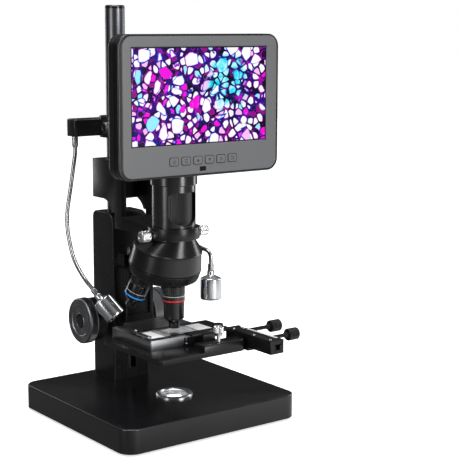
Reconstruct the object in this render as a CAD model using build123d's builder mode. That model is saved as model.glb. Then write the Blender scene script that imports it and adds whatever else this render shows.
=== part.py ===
"""Digital microscope with a tilting screen, focusing stage and gooseneck lamps.

Millimetres, +Z up, front towards -Y. The origin is the centre of the base's
footprint, on the surface that the rubber feet stand on.
"""

import os
from math import atan2, cos, degrees, pi, radians, sin, tan

from build123d import *

os.makedirs("parts", exist_ok=True)

# ---- base -------------------------------------------------------------------
base_width = 204.0
base_depth = 198.0
base_height = 23.8
base_corner = 14.7
base_edge = 1.2
base_wall = 5.0
foot_height = 2.5
foot_radius = 9.0
foot_inset = 21.0
cover_thickness = 2.0
cover_inset = 4.0
cover_gap = 0.2
vent_count = 6
vent_pitch = 12.0
vent_length = 24.0
vent_width = 3.0
socket_radius = 3.2
socket_depth = 9.0
socket_x = -62.0

base_bottom = foot_height
base_top = foot_height + base_height

# ---- optical axis and illuminator -------------------------------------------
optical_y = -28.0
bezel_radius = 18.5
bezel_height = 2.2
bezel_seat = 6.0
lens_radius = 14.0
lens_crown = 2.4
lamp_board_thickness = 1.6
seat_gap = 0.05

# ---- column and pole --------------------------------------------------------
column_width = 43.0
column_front = 50.0
column_back = 90.0
column_top = 201.0
column_front_round = 12.0
column_back_round = 7.0
channel_width = 10.0
channel_depth = 11.0
channel_bottom = 37.0
channel_top = 165.0
rail_width = 3.7
rail_proud = 0.6
rib_count = 4
rib_pitch = 3.4
rib_depth = 0.5
rib_width = 0.7
rib_top = 66.0

pole_y = 76.0
pole_radius = 10.0
pole_bottom = 122.0
pole_top = 407.0
pole_cap_height = 3.5
pole_fit = 0.04

# ---- focus drive ------------------------------------------------------------
focus_y = 70.8
focus_z = 89.5
focus_knob_radius = 23.7
focus_knob_width = 22.0
focus_knob_gap = 6.5
focus_hub_radius = 7.5
focus_shaft_radius = 4.0
shaft_fit = 0.05
gear_module = 0.8
gear_teeth = 15
gear_width = 5.0
gear_gap = 0.12
rack_back = 2.4

# ---- stage carriage ---------------------------------------------------------
carriage_width = 34.0
carriage_depth = 16.0
carriage_bottom = 84.5
carriage_top = 145.0
relief_bottom = 97.0
relief_depth = 4.3
relief_width = 26.0
slide_gap = 0.3
slide_plate_width = 24.0
slide_plate_depth = 6.0
slide_plate_bottom = 72.0
slide_plate_top = 159.0

# ---- stage table ------------------------------------------------------------
plate_left = -51.0
plate_right = 41.0
plate_front = -80.0
plate_back = 24.0
plate_bottom = 75.0
plate_thickness = 5.0
plate_corner = 4.0
lug_left = 0.0
lug_height = 6.3
lug_depth = 17.0
lug_round = 9.5
block_left = -39.5
block_right = 38.0
block_front = -46.5
block_height = 10.5
block_arm_width = 40.0
light_hole_radius = 14.0

plate_top = plate_bottom + plate_thickness
table_top = plate_top + block_height

# ---- cross slide ------------------------------------------------------------
bar_width = 16.0
bar_left = 53.0
bar_front = -115.0
bar_back = -43.0
bar_bottom = 77.0
bar_top = 90.5
rail_width_top = 9.6
rail_head_height = 2.1
rail_neck = 2.6
rail_foot_height = 2.7
rail_rear = -60.0
rail_fit = 0.08
fine_module = 0.4
fine_teeth = 10
fine_gear_width = 4.0
rule_width = 3.2
rule_thickness = 0.8
rule_setback = 8.0
rule_end_gap = 3.0
knob_radius = 6.2
knob_length = 13.0
knob_shaft_radius = 2.0
y_knob_y = -82.0
y_knob_z = 83.5
y_knob_end = 113.5
x_knob_y = -52.0
x_knob_z = 86.0
x_knob_end = 115.0
knurl_count = 30
knurl_depth = 0.4

# ---- slide holder -----------------------------------------------------------
specimen_length = 76.0
specimen_width = 26.0
specimen_thickness = 1.0
specimen_y = -29.5
specimen_lift = 0.2
holder_lift = 0.3
holder_thickness = 1.6
holder_left = 2.0
holder_back_depth = 5.0
holder_side_width = 9.0
holder_clear = 0.15
tongue_depth = 10.0
tongue_height = 1.8
tongue_left_x = 47.5
tongue_length = 19.0
finger_width = 4.0
finger_thickness = 2.0
finger_pivot_radius = 1.4
clip_knob_radius = 5.0
clip_knob_height = 3.4

# ---- clamp screw on the raised lug ------------------------------------------
thumb_x = 20.0
thumb_y = -75.0
thumb_radius = 5.2
thumb_height = 9.0
thumb_shank_radius = 2.0
thumb_lift = 7.0

# ---- camera arm -------------------------------------------------------------
arm_width = 43.0
arm_plate = 5.5
arm_back = 88.0
arm_front = 33.0
arm_top = 255.0
arm_block_bottom = 215.0
arm_low = 184.3
arm_beam_top = 200.0
arm_beam_width = 30.0
arm_leg_back = 50.0
arm_cut_radius = 22.0
ring_outer = 25.5
ring_bottom = 185.8
ring_top = 197.0
ring_fit = 0.06
clamp_knob_radius = 9.0
clamp_knob_length = 8.0
clamp_z = 236.0
clamp_shank_radius = 2.5
ring_screw_radius = 5.4
ring_screw_length = 11.0
ring_screw_z = 189.5
ring_screw_reach = 28.5
ring_shank_radius = 2.2
ring_boss_radius = 5.3
ring_boss_length = 4.5

# ---- camera tube ------------------------------------------------------------
tube_radius = 21.5
tube_wall = 3.0
tube_shoulder = 238.0
tube_bottom = 184.3
housing_radius = 23.1
housing_top = 279.0
window_bottom = 199.0
window_top = 232.0
window_half_angle = 48.0
focus_ring_radius = 18.1
focus_ring_wall = 3.0
focus_rib_count = 48
focus_rib_height = 0.5
flange_drop = 1.5
tube_lens_radius = 14.6
sensor_size = 24.0

# ---- nosepiece --------------------------------------------------------------
turret_tilt = 15.0
turret_pivot_z = 213.0
cover_start = 37.3
cover_start_radius = 33.4
cover_end = 57.3
cover_end_radius = 36.2
rim_end = 67.0
rim_end_radius = 34.6
seat_level = 74.0
turret_gap = 0.3
turret_crown = 2.4
rim_notches = 36
rim_notch_radius = 0.9
cover_top_radius = 21.3
cover_collar = 3.0
objective_count = 3
objective_knurl = 28
objective_radius = 10.2
objective_tip_z = 95.0
objective_grip = 12.0
objective_band = 1.6
objective_cone = 4.0
objective_nose = 5.5
objective_shank = 5.0
front_lens_radius = 1.8
pivot_pin_radius = 4.0

# ---- screen -----------------------------------------------------------------
screen_width = 184.0
screen_height = 132.0
screen_bottom = 251.0
screen_corner = 12.0
screen_front = -75.0
bezel_depth = 6.0
shell_depth = 13.0
screen_seam = 0.8
seam_inset = 1.2
face_inset = 0.7
face_thickness = 1.2
window_side = 14.5
window_above = 11.7
window_below = 30.3
panel_thickness = 2.4
screen_wall = 2.4
button_pitch = 13.5
button_first_x = -31.8
button_count = 6
button_width = 9.5
button_height = 7.0
button_rise = 15.0
button_proud = 0.8
button_gap = 0.3
button_travel_room = 0.7
tilt_axis_z = 292.0
tilt_axis_y = -50.0
tilt_barrel_radius = 5.0
tilt_pin_radius = 2.5
tilt_yoke_width = 44.0
tilt_ear_width = 10.0
board_width = 120.0
board_height = 60.0
board_clear = 4.0
board_gap = 1.0
battery_gap = 3.0
button_flange = 1.0
button_stem = 0.9
battery_width = 80.0
battery_height = 44.0
battery_depth = 7.0
eye_x = 1.3
eye_rise = 6.8
eye_width = 7.5
eye_height = 4.5
eye_depth = 0.5
case_screw_radius = 3.0
case_screw_depth = 1.5
side_ports = ((49.0, 12.0, 2.4), (69.0, 11.4, 3.6), (89.0, 8.6, 3.4))

# ---- lamp bar and gooseneck lamps -------------------------------------------
lamp_bar_length = 97.2
lamp_bar_front = 77.0
lamp_bar_depth = 17.0
lamp_bar_bottom = 278.8
lamp_bar_height = 17.5
lamp_boss_radius = 17.0
lamp_slot = 1.6
neck_radius = 2.2
neck_sleeve_radius = 3.1
neck_sleeve_length = 11.0
neck_x = 43.5
neck_y = 85.0
lamp_radius = 10.8
lamp_length = 25.0
lamp_sleeve_radius = 3.9
lamp_sleeve_length = 10.0
lamp_facets = 12
lamp_shoulder = 3.0
lamp_rim = 1.3
lamp_recess = 3.5
lamp_lens_thickness = 1.6
lamp_led_count = 5
lamp_led_radius = 2.3
bar_knob_radius = 5.6
bar_knob_length = 8.0
bar_knob_start = 15.6
bar_screw_offset = 13.5
neck_seat = 10.0
neck_bend = 16.0
neck_ferrule = 7.0

left_neck_points = [
    (-neck_x, neck_y, 262.0),
    (-51.0, 82.0, 229.0),
    (-62.0, 75.0, 193.0),
    (-61.0, 62.0, 156.0),
]
left_lamp_back = (-41.5, 43.0, 117.5)
left_lamp_way = (0.40, -0.55, -0.73)
right_neck_points = [
    (neck_x, neck_y, 258.0),
    (43.0, 84.0, 220.0),
    (46.0, 74.0, 184.0),
    (58.0, 38.0, 168.0),
]
right_lamp_back = (62.0, -5.0, 137.0)
right_lamp_way = (0.0, 0.0, -1.0)


# =============================================================================
# Base
# =============================================================================
with BuildPart() as base_casting:
    with BuildSketch(Plane.XY.offset(base_bottom)):
        RectangleRounded(base_width, base_depth, base_corner)
    extrude(amount=base_height)
    top_rim = base_casting.faces().sort_by(Axis.Z)[-1].edges()
    fillet(top_rim, base_edge)
    with BuildSketch(Plane.XY.offset(base_bottom)):
        RectangleRounded(
            base_width - 2 * cover_inset,
            base_depth - 2 * cover_inset,
            base_corner - cover_inset,
        )
    extrude(amount=cover_thickness, mode=Mode.SUBTRACT)
    with BuildSketch(Plane.XY.offset(base_bottom)):
        RectangleRounded(
            base_width - 2 * (cover_inset + base_wall),
            base_depth - 2 * (cover_inset + base_wall),
            base_corner - cover_inset - base_wall / 2,
        )
        with Locations((0, (column_front + column_back) / 2)):
            Rectangle(
                column_width + 2 * base_wall,
                column_back - column_front + 2 * base_wall,
                mode=Mode.SUBTRACT,
            )
    extrude(amount=base_height - base_wall, mode=Mode.SUBTRACT)
    with Locations((0, optical_y, base_top)):
        CounterBoreHole(
            lens_radius - 2.0, bezel_radius + seat_gap, bezel_seat, depth=base_height
        )
    with BuildSketch(Plane.XZ.offset(-base_depth / 2)):
        with Locations((socket_x, base_bottom + base_height / 2)):
            Circle(socket_radius)
    extrude(amount=socket_depth + base_wall, mode=Mode.SUBTRACT)
base_casting.part.label = "base_casting"
export_step(base_casting.part, "parts/base_casting.step")

with BuildPart() as base_cover:
    with BuildSketch(Plane.XY.offset(base_bottom)):
        RectangleRounded(
            base_width - 2 * cover_inset - 2 * cover_gap,
            base_depth - 2 * cover_inset - 2 * cover_gap,
            base_corner - cover_inset - cover_gap,
        )
        with GridLocations(vent_pitch, 1, vent_count, 1):
            SlotCenterToCenter(vent_length, vent_width, rotation=90, mode=Mode.SUBTRACT)
    extrude(amount=cover_thickness)
base_cover.part.label = "base_cover"
export_step(base_cover.part, "parts/base_cover.step")

foot_spacing_x = base_width - 2 * foot_inset
foot_spacing_y = base_depth - 2 * foot_inset
with BuildPart() as base_feet:
    with BuildSketch():
        with GridLocations(foot_spacing_x, foot_spacing_y, 2, 2):
            Circle(foot_radius)
    extrude(amount=foot_height)
    chamfer(base_feet.edges().group_by(Axis.Z)[0], 0.6)
base_feet.part.label = "base_feet"
export_step(base_feet.part, "parts/base_feet.step")

# The illuminator: a turned bezel ring, its glass and the board under it.
bezel_floor = base_top - bezel_seat
with BuildPart() as illuminator_bezel:
    with BuildSketch(Plane.XY.offset(bezel_floor + lamp_board_thickness)):
        with Locations((0, optical_y)):
            Circle(bezel_radius)
            Circle(lens_radius + seat_gap, mode=Mode.SUBTRACT)
    extrude(amount=bezel_seat - lamp_board_thickness + bezel_height)
    lip = illuminator_bezel.edges().filter_by(GeomType.CIRCLE).group_by(Axis.Z)[-1]
    chamfer(lip, 1.0)
illuminator_bezel.part.label = "illuminator_bezel"
export_step(illuminator_bezel.part, "parts/illuminator_bezel.step")

lens_rim = base_top + 0.6
with BuildPart() as illuminator_lens:
    with BuildSketch(Plane.XZ.offset(-optical_y)):
        with BuildLine():
            lens_floor = bezel_floor + lamp_board_thickness
            Polyline((0, lens_floor), (lens_radius, lens_floor), (lens_radius, lens_rim))
            crown_sphere = (lens_radius**2 + lens_crown**2) / (2 * lens_crown)
            RadiusArc((lens_radius, lens_rim), (0, lens_rim + lens_crown), -crown_sphere)
            Line((0, lens_rim + lens_crown), (0, lens_floor))
        make_face()
    revolve(axis=Axis((0, optical_y, 0), (0, 0, 1)))
illuminator_lens.part.label = "illuminator_lens"
export_step(illuminator_lens.part, "parts/illuminator_lens.step")

with BuildPart() as illuminator_board:
    with BuildSketch(Plane.XY.offset(bezel_floor)):
        with Locations((0, optical_y)):
            Circle(bezel_radius - 0.3)
    extrude(amount=lamp_board_thickness)
illuminator_board.part.label = "illuminator_board"
export_step(illuminator_board.part, "parts/illuminator_board.step")

# =============================================================================
# Column, guide rail and pole
# =============================================================================
gear_radius = gear_module * gear_teeth / 2
gear_tip = gear_radius + gear_module
rack_pitch_y = focus_y - gear_radius - gear_gap
rack_tooth_tip = rack_pitch_y + gear_module
pinion_pocket = gear_width + 2.0
column_mid = (column_front + column_back) / 2
column_depth = column_back - column_front

with BuildPart() as column:
    with BuildSketch(Plane.XY.offset(base_top)):
        with Locations((0, column_mid)):
            Rectangle(column_width, column_depth)
    extrude(amount=column_top - base_top)
    upper = column.edges().filter_by(Axis.X).group_by(Axis.Z)[-1].sort_by(Axis.Y)
    fillet(upper[0], column_front_round)
    fillet(upper[-1], column_back_round)
    uprights = column.edges().filter_by(Axis.Z).group_by(Axis.Y)[0]
    fillet(uprights, 1.5)
    # Channel for the guide rail and the rack.
    with BuildSketch(Plane.XY.offset(channel_bottom)):
        with Locations((0, column_front)):
            Rectangle(channel_width, 2 * channel_depth)
    extrude(amount=channel_top - channel_bottom, mode=Mode.SUBTRACT)
    # Pinion pocket, open to the channel, and the shaft bore through both cheeks.
    with BuildSketch(Plane.YZ.offset(channel_width / 2 - (gear_width + pinion_pocket) / 2)):
        with Locations((focus_y, focus_z)):
            Circle(gear_tip + 0.8)
        pocket_reach = focus_y - column_front - channel_depth
        with Locations((focus_y - pocket_reach / 2, focus_z)):
            Rectangle(pocket_reach, 2 * (gear_tip + 0.8))
    extrude(amount=pinion_pocket, mode=Mode.SUBTRACT)
    with BuildSketch(Plane.YZ.offset(-column_width / 2)):
        with Locations((focus_y, focus_z)):
            Circle(focus_shaft_radius + shaft_fit)
    extrude(amount=column_width, mode=Mode.SUBTRACT)
    # Deep relief in which the rack's back runs.
    with BuildSketch(Plane.XY.offset(channel_bottom)):
        rack_room = rack_tooth_tip + 0.6 - column_front
        with Locations((channel_width / 2 - gear_width / 2 - 0.4, column_front + rack_room / 2)):
            Rectangle(gear_width + 0.8, rack_room)
    extrude(amount=channel_top - channel_bottom, mode=Mode.SUBTRACT)
    with Locations((0, pole_y, column_top)):
        Hole(pole_radius + pole_fit, depth=column_top - pole_bottom)
    # Fine vertical flutes beside the channel, low on the front.
    for side in (-1, 1):
        for rib in range(rib_count):
            rib_x = side * (channel_width / 2 + rib_pitch * (rib + 0.9))
            with BuildSketch(Plane.XY.offset(base_top)):
                with Locations((rib_x, column_front)):
                    Rectangle(rib_width, 2 * rib_depth)
            extrude(amount=rib_top - base_top, mode=Mode.SUBTRACT)
column.part.label = "column"
export_step(column.part, "parts/column.step")

with BuildPart() as guide_rail:
    with BuildSketch(Plane.XY.offset(channel_bottom)):
        with Locations((-channel_width / 2, column_front - rail_proud)):
            Rectangle(
                rail_width,
                channel_depth + rail_proud,
                align=(Align.MIN, Align.MIN),
            )
    extrude(amount=channel_top - channel_bottom)
guide_rail.part.label = "guide_rail"
export_step(guide_rail.part, "parts/guide_rail.step")

with BuildPart() as pole:
    with BuildSketch(Plane.XY.offset(pole_bottom)):
        with Locations((0, pole_y)):
            Circle(pole_radius)
    extrude(amount=pole_top - pole_bottom)
    chamfer(pole.edges().group_by(Axis.Z)[0], 0.8)
pole.part.label = "pole"
export_step(pole.part, "parts/pole.step")

with BuildPart() as pole_cap:
    with BuildSketch(Plane.XY.offset(pole_top)):
        with Locations((0, pole_y)):
            Circle(pole_radius)
    extrude(amount=pole_cap_height)
    chamfer(pole_cap.edges().group_by(Axis.Z)[-1], 1.2)
pole_cap.part.label = "pole_cap"
export_step(pole_cap.part, "parts/pole_cap.step")

# =============================================================================
# Focus drive: pinion shaft and two spun knobs
# =============================================================================
knob_inner = column_width / 2 + focus_knob_gap
knob_outer = knob_inner + focus_knob_width
with BuildPart() as focus_shaft:
    with BuildSketch(Plane.YZ.offset(-knob_outer + 4.0)):
        with Locations((focus_y, focus_z)):
            Circle(focus_shaft_radius)
    extrude(amount=2 * (knob_outer - 4.0))
    root_radius = gear_radius - 1.2 * gear_module
    half_pitch = pi * gear_module / 4
    with BuildSketch(Plane.YZ.offset(channel_width / 2 - gear_width)):
        with Locations((focus_y, focus_z)):
            Circle(root_radius)
            tooth_height = gear_tip - root_radius + 0.3
            with PolarLocations(root_radius - 0.3, gear_teeth, start_angle=180):
                Polygon(
                    (0, -half_pitch * 1.45),
                    (tooth_height, -half_pitch * 0.55),
                    (tooth_height, half_pitch * 0.55),
                    (0, half_pitch * 1.45),
                    align=None,
                )
    extrude(amount=gear_width)
focus_shaft.part.label = "focus_shaft"
export_step(focus_shaft.part, "parts/focus_shaft.step")

knob_rim_step = 1.2
for side, side_name in ((-1, "left"), (1, "right")):
    with BuildPart() as focus_knob:
        with BuildSketch(Plane.XY.offset(focus_z)):
            with BuildLine():
                inner_x, outer_x = side * knob_inner, side * knob_outer
                hub_x = side * (knob_outer - 3.0)
                step_x = side * (knob_outer - 9.0)
                Polyline(
                    (inner_x, focus_y + focus_shaft_radius),
                    (inner_x, focus_y + focus_knob_radius - 3.0),
                    (side * (knob_inner + 2.0), focus_y + focus_knob_radius - knob_rim_step),
                    (step_x, focus_y + focus_knob_radius - knob_rim_step),
                    (step_x, focus_y + focus_knob_radius),
                    (side * (knob_outer - 1.4), focus_y + focus_knob_radius),
                    (outer_x, focus_y + focus_knob_radius - 1.4),
                    (outer_x, focus_y + focus_hub_radius),
                    (hub_x, focus_y + focus_hub_radius),
                    (hub_x, focus_y),
                    (side * (knob_outer - 4.0), focus_y),
                    (side * (knob_outer - 4.0), focus_y + focus_shaft_radius),
                    close=True,
                )
            make_face()
        revolve(axis=Axis((0, focus_y, focus_z), (1, 0, 0)))
    focus_knob.part.label = f"focus_knob_{side_name}"
    export_step(focus_knob.part, f"parts/focus_knob_{side_name}.step")

# =============================================================================
# Stage: carriage, bright slide plate, rack, table and plate
# =============================================================================
carriage_back = column_front - slide_gap
carriage_front = carriage_back - carriage_depth
tongue_left = -channel_width / 2 + rail_width + slide_gap
tongue_right = channel_width / 2 - slide_gap
tongue_back = column_front + channel_depth - slide_gap - rack_back
rack_x = channel_width / 2 - gear_width - slide_gap

with BuildPart() as stage_carriage:
    with BuildSketch(Plane.XY.offset(carriage_bottom)):
        with Locations((0, carriage_back)):
            Rectangle(carriage_width, carriage_depth, align=(Align.CENTER, Align.MAX))
    extrude(amount=carriage_top - carriage_bottom)
    fillet(stage_carriage.edges().filter_by(Axis.Z).group_by(Axis.Y)[0], 1.2)
    with BuildSketch(Plane.XY.offset(carriage_bottom)):
        with Locations((0, carriage_back)):
            Rectangle(slide_plate_width, slide_plate_depth, align=(Align.CENTER, Align.MAX))
    extrude(amount=carriage_top - carriage_bottom, mode=Mode.SUBTRACT)
    # Relief that the longest objective swings through as the turret turns.
    with BuildSketch(Plane.XY.offset(relief_bottom)):
        with Locations((0, carriage_front + relief_depth)):
            Rectangle(relief_width, 2 * relief_depth, align=(Align.CENTER, Align.MAX))
    extrude(amount=carriage_top - relief_bottom, mode=Mode.SUBTRACT)
stage_carriage.part.label = "stage_carriage"
export_step(stage_carriage.part, "parts/stage_carriage.step")

with BuildPart() as slide_plate:
    with BuildSketch(Plane.XY.offset(slide_plate_bottom)):
        with Locations((0, carriage_back)):
            Rectangle(slide_plate_width, slide_plate_depth, align=(Align.CENTER, Align.MAX))
    extrude(amount=slide_plate_top - slide_plate_bottom)
    # The tongue that runs in the channel beside the guide rail.
    with BuildSketch(Plane.XY.offset(slide_plate_bottom)):
        with Locations((tongue_left, carriage_back)):
            Rectangle(
                tongue_right - tongue_left,
                tongue_back - carriage_back,
                align=(Align.MIN, Align.MIN),
            )
    extrude(amount=slide_plate_top - slide_plate_bottom)
    with BuildSketch(Plane.XY.offset(slide_plate_bottom)):
        with Locations((-channel_width / 2 - slide_gap, carriage_back + 0.01)):
            Rectangle(rail_width + 2 * slide_gap, rail_proud, align=(Align.MIN, Align.MAX))
    extrude(amount=slide_plate_top - slide_plate_bottom, mode=Mode.SUBTRACT)
slide_plate.part.label = "slide_plate"
export_step(slide_plate.part, "parts/slide_plate.step")

# The rack: a straight bar behind the tongue with teeth that mesh the pinion.
tooth_pitch = pi * gear_module
rack_length = slide_plate_top - slide_plate_bottom - 4.0
rack_teeth = int(rack_length / tooth_pitch) - 1
with BuildPart() as focus_rack:
    with BuildSketch(Plane.YZ.offset(rack_x)):
        rack_root_y = rack_pitch_y - 1.2 * gear_module
        rack_low = slide_plate_bottom + 2.0
        with Locations((tongue_back, rack_low)):
            Rectangle(rack_root_y - tongue_back, rack_length, align=(Align.MIN, Align.MIN))
        half_tooth = tooth_pitch / 4
        first_tooth_z = focus_z + tooth_pitch / 2
        teeth_below = int((first_tooth_z - rack_low) / tooth_pitch)
        for tooth in range(-teeth_below + 1, rack_teeth - teeth_below):
            with Locations((rack_root_y, first_tooth_z + tooth * tooth_pitch)):
                Polygon(
                    (-0.2, -half_tooth * 1.5),
                    (rack_tooth_tip - rack_root_y, -half_tooth * 0.5),
                    (rack_tooth_tip - rack_root_y, half_tooth * 0.5),
                    (-0.2, half_tooth * 1.5),
                    align=None,
                )
    extrude(amount=gear_width)
focus_rack.part.label = "focus_rack"
export_step(focus_rack.part, "parts/focus_rack.step")

with BuildPart() as stage_table:
    # Table block with its arm running back to the carriage.
    with BuildSketch(Plane.XY.offset(plate_top)):
        with Locations((block_left, block_front)):
            Rectangle(
                block_right - block_left,
                plate_back - block_front,
                align=(Align.MIN, Align.MIN),
            )
    extrude(amount=block_height)
    with BuildSketch(Plane.XY.offset(carriage_bottom)):
        with Locations((0, plate_back - 6.0)):
            Rectangle(
                block_arm_width,
                carriage_front - plate_back + 6.0,
                align=(Align.CENTER, Align.MIN),
            )
    extrude(amount=table_top - carriage_bottom)
    fillet(stage_table.edges().filter_by(Axis.Z).group_by(Axis.Y)[0], 1.0)
    with Locations((0, optical_y, table_top)):
        Hole(light_hole_radius, depth=block_height)
stage_table.part.label = "stage_table"
export_step(stage_table.part, "parts/stage_table.step")

with BuildPart() as stage_plate:
    with BuildSketch(Plane.XY.offset(plate_bottom)):
        with Locations((plate_left, plate_front)):
            Rectangle(
                plate_right - plate_left,
                plate_back - plate_front,
                align=(Align.MIN, Align.MIN),
            )
    extrude(amount=plate_thickness)
    fillet(stage_plate.edges().filter_by(Axis.Z).group_by(Axis.X)[0], plate_corner)
    # The raised lug at the right, rounded where it meets the cross slide.
    lug_right = bar_left - 0.4
    with BuildSketch(Plane.XY.offset(plate_bottom)) as lug_outline:
        with Locations((lug_left, plate_front)):
            Rectangle(
                lug_right - lug_left,
                lug_depth,
                align=(Align.MIN, Align.MIN),
            )
        corner = lug_outline.vertices().sort_by(Axis.X)[-2:].sort_by(Axis.Y)[0]
        fillet(corner, lug_round)
    extrude(amount=plate_thickness + lug_height)
    lug_top_edges = stage_plate.faces().sort_by(Axis.Z)[-1].edges()
    chamfer(lug_top_edges, 0.6)
    with Locations((0, optical_y, plate_top)):
        Hole(light_hole_radius - 2.0, depth=plate_thickness)
    with Locations((thumb_x, thumb_y, plate_top + lug_height)):
        Hole(thumb_shank_radius + shaft_fit, depth=lug_height)
stage_plate.part.label = "stage_plate"
export_step(stage_plate.part, "parts/stage_plate.step")

# The bright rail on which the cross slide runs, held by a foot on the lug's end.
fine_radius = fine_module * fine_teeth / 2
fine_tip = fine_radius + fine_module
rail_pitch_z = y_knob_z + fine_radius + gear_gap
rail_head_z = rail_pitch_z + 1.2 * fine_module
rail_head_left = bar_left + (bar_width - rail_width_top) / 2
rail_front = bar_front + 0.5
gear_left = rail_head_left + rail_neck + 1.4
fine_pitch = pi * fine_module
with BuildPart() as cross_rail:
    with BuildSketch(Plane.XZ.offset(-rail_front)):
        with Locations((rail_head_left, rail_head_z)):
            Rectangle(rail_width_top, rail_head_height, align=(Align.MIN, Align.MIN))
        with Locations((rail_head_left, rail_head_z)):
            neck_drop = rail_head_z - (bar_bottom - slide_gap)
            Rectangle(rail_neck, neck_drop, align=(Align.MIN, Align.MAX))
    extrude(amount=rail_front - rail_rear)
    with BuildSketch(Plane.XY.offset(bar_bottom - slide_gap)):
        with Locations((lug_right, plate_front)):
            Rectangle(bar_width - 3.0, lug_depth, align=(Align.MIN, Align.MIN))
    extrude(amount=-rail_foot_height)
    # Rack teeth under the head.
    with BuildSketch(Plane.YZ.offset(gear_left)):
        rack_start = plate_front - 10.0
        rack_count = int((rail_rear - rack_start) / fine_pitch) - 1
        first_rack_y = y_knob_y + fine_pitch / 2
        racks_before = int((first_rack_y - rack_start) / fine_pitch)
        for tooth in range(-racks_before, rack_count - racks_before):
            with Locations((first_rack_y + tooth * fine_pitch, rail_head_z)):
                Polygon(
                    (-fine_pitch * 0.36, 0.1),
                    (-fine_pitch * 0.12, -2.0 * fine_module),
                    (fine_pitch * 0.12, -2.0 * fine_module),
                    (fine_pitch * 0.36, 0.1),
                    align=None,
                )
    extrude(amount=fine_gear_width)
cross_rail.part.label = "cross_rail"
export_step(cross_rail.part, "parts/cross_rail.step")

with BuildPart() as thumb_screw:
    thumb_floor = plate_top + 1.0
    thumb_seat = plate_top + lug_height + thumb_lift
    with BuildSketch(Plane.XY.offset(thumb_floor)):
        with Locations((thumb_x, thumb_y)):
            Circle(thumb_shank_radius)
    extrude(amount=thumb_seat - thumb_floor + thumb_height / 2)
    with BuildSketch(Plane.XY.offset(thumb_seat)):
        with Locations((thumb_x, thumb_y)):
            Circle(thumb_radius)
            with PolarLocations(thumb_radius, 24):
                RegularPolygon(knurl_depth, 4, mode=Mode.SUBTRACT)
    extrude(amount=thumb_height)
thumb_screw.part.label = "thumb_screw"
export_step(thumb_screw.part, "parts/thumb_screw.step")

# =============================================================================
# Cross slide: moving bar, rule, drive knobs, holder, finger and specimen
# =============================================================================
tongue_top = bar_top - 0.1
tongue_low = tongue_top - tongue_height
rule_front = bar_front + rule_setback
rule_length = x_knob_y - tongue_depth / 2 - rule_end_gap - rule_front
with BuildPart() as cross_bar:
    with BuildSketch(Plane.XZ.offset(-bar_front)):
        with Locations((bar_left, bar_bottom)):
            Rectangle(bar_width, bar_top - bar_bottom, align=(Align.MIN, Align.MIN))
        with Locations((rail_head_left - rail_fit, rail_head_z - 1.0)):
            Rectangle(
                rail_width_top + 2 * rail_fit,
                rail_head_height + 1.0 + rail_fit,
                align=(Align.MIN, Align.MIN),
                mode=Mode.SUBTRACT,
            )
        with Locations((rail_head_left - rail_fit, rail_head_z)):
            Rectangle(
                rail_neck + 2 * rail_fit,
                rail_head_z - bar_bottom,
                align=(Align.MIN, Align.MAX),
                mode=Mode.SUBTRACT,
            )
        with Locations((gear_left - 0.5, y_knob_z - fine_tip - 0.5)):
            Rectangle(
                fine_gear_width + 1.0,
                rail_head_z - y_knob_z + fine_tip,
                align=(Align.MIN, Align.MIN),
                mode=Mode.SUBTRACT,
            )
    extrude(amount=bar_front - bar_back)
    # Slot across the bar's top for the holder's tongue.
    with BuildSketch(Plane.YZ.offset(bar_left)):
        with Locations((x_knob_y, tongue_low - rail_fit)):
            Rectangle(
                tongue_depth + 2 * rail_fit,
                bar_top - tongue_low + rail_fit,
                align=(Align.CENTER, Align.MIN),
            )
    extrude(amount=bar_width, mode=Mode.SUBTRACT)
    for axis_y, axis_z in ((y_knob_y, y_knob_z), (x_knob_y, x_knob_z)):
        with BuildSketch(Plane.YZ.offset(bar_left + 2.0)):
            with Locations((axis_y, axis_z)):
                Circle(knob_shaft_radius + shaft_fit)
        extrude(amount=bar_width - 2.0, mode=Mode.SUBTRACT)
    # Recess along the right edge for the rule.
    with BuildSketch(Plane.XY.offset(bar_top)):
        with Locations((bar_left + bar_width, rule_front)):
            Rectangle(rule_width, rule_length, align=(Align.MAX, Align.MIN))
    extrude(amount=-rule_thickness, mode=Mode.SUBTRACT)
cross_bar.part.label = "cross_bar"
export_step(cross_bar.part, "parts/cross_bar.step")

with BuildPart() as rule_strip:
    with BuildSketch(Plane.XY.offset(bar_top - rule_thickness)):
        with Locations((bar_left + bar_width, rule_front)):
            Rectangle(rule_width, rule_length, align=(Align.MAX, Align.MIN))
    extrude(amount=rule_thickness)
rule_strip.part.label = "rule_strip"
export_step(rule_strip.part, "parts/rule_strip.step")

bar_right = bar_left + bar_width
with BuildPart() as y_knob:
    with BuildSketch(Plane.YZ.offset(gear_left - 0.3)):
        with Locations((y_knob_y, y_knob_z)):
            Circle(knob_shaft_radius - 0.6)
    extrude(amount=bar_right - gear_left)
    with BuildSketch(Plane.YZ.offset(gear_left)):
        with Locations((y_knob_y, y_knob_z)):
            Circle(fine_radius - 1.2 * fine_module)
            with PolarLocations(fine_radius - 1.6 * fine_module, fine_teeth, start_angle=90):
                Polygon(
                    (0, -fine_pitch * 0.34),
                    (2.4 * fine_module, -fine_pitch * 0.13),
                    (2.4 * fine_module, fine_pitch * 0.13),
                    (0, fine_pitch * 0.34),
                    align=None,
                )
    extrude(amount=fine_gear_width)
    with BuildSketch(Plane.YZ.offset(gear_left + fine_gear_width)):
        with Locations((y_knob_y, y_knob_z)):
            Circle(knob_shaft_radius)
    extrude(amount=y_knob_end - knob_length - gear_left - fine_gear_width)
    with BuildSketch(Plane.YZ.offset(y_knob_end - knob_length)):
        with Locations((y_knob_y, y_knob_z)):
            Circle(knob_radius)
            with PolarLocations(knob_radius, knurl_count):
                RegularPolygon(knurl_depth, 4, mode=Mode.SUBTRACT)
    extrude(amount=knob_length)
y_knob.part.label = "y_knob"
export_step(y_knob.part, "parts/y_knob.step")

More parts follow.
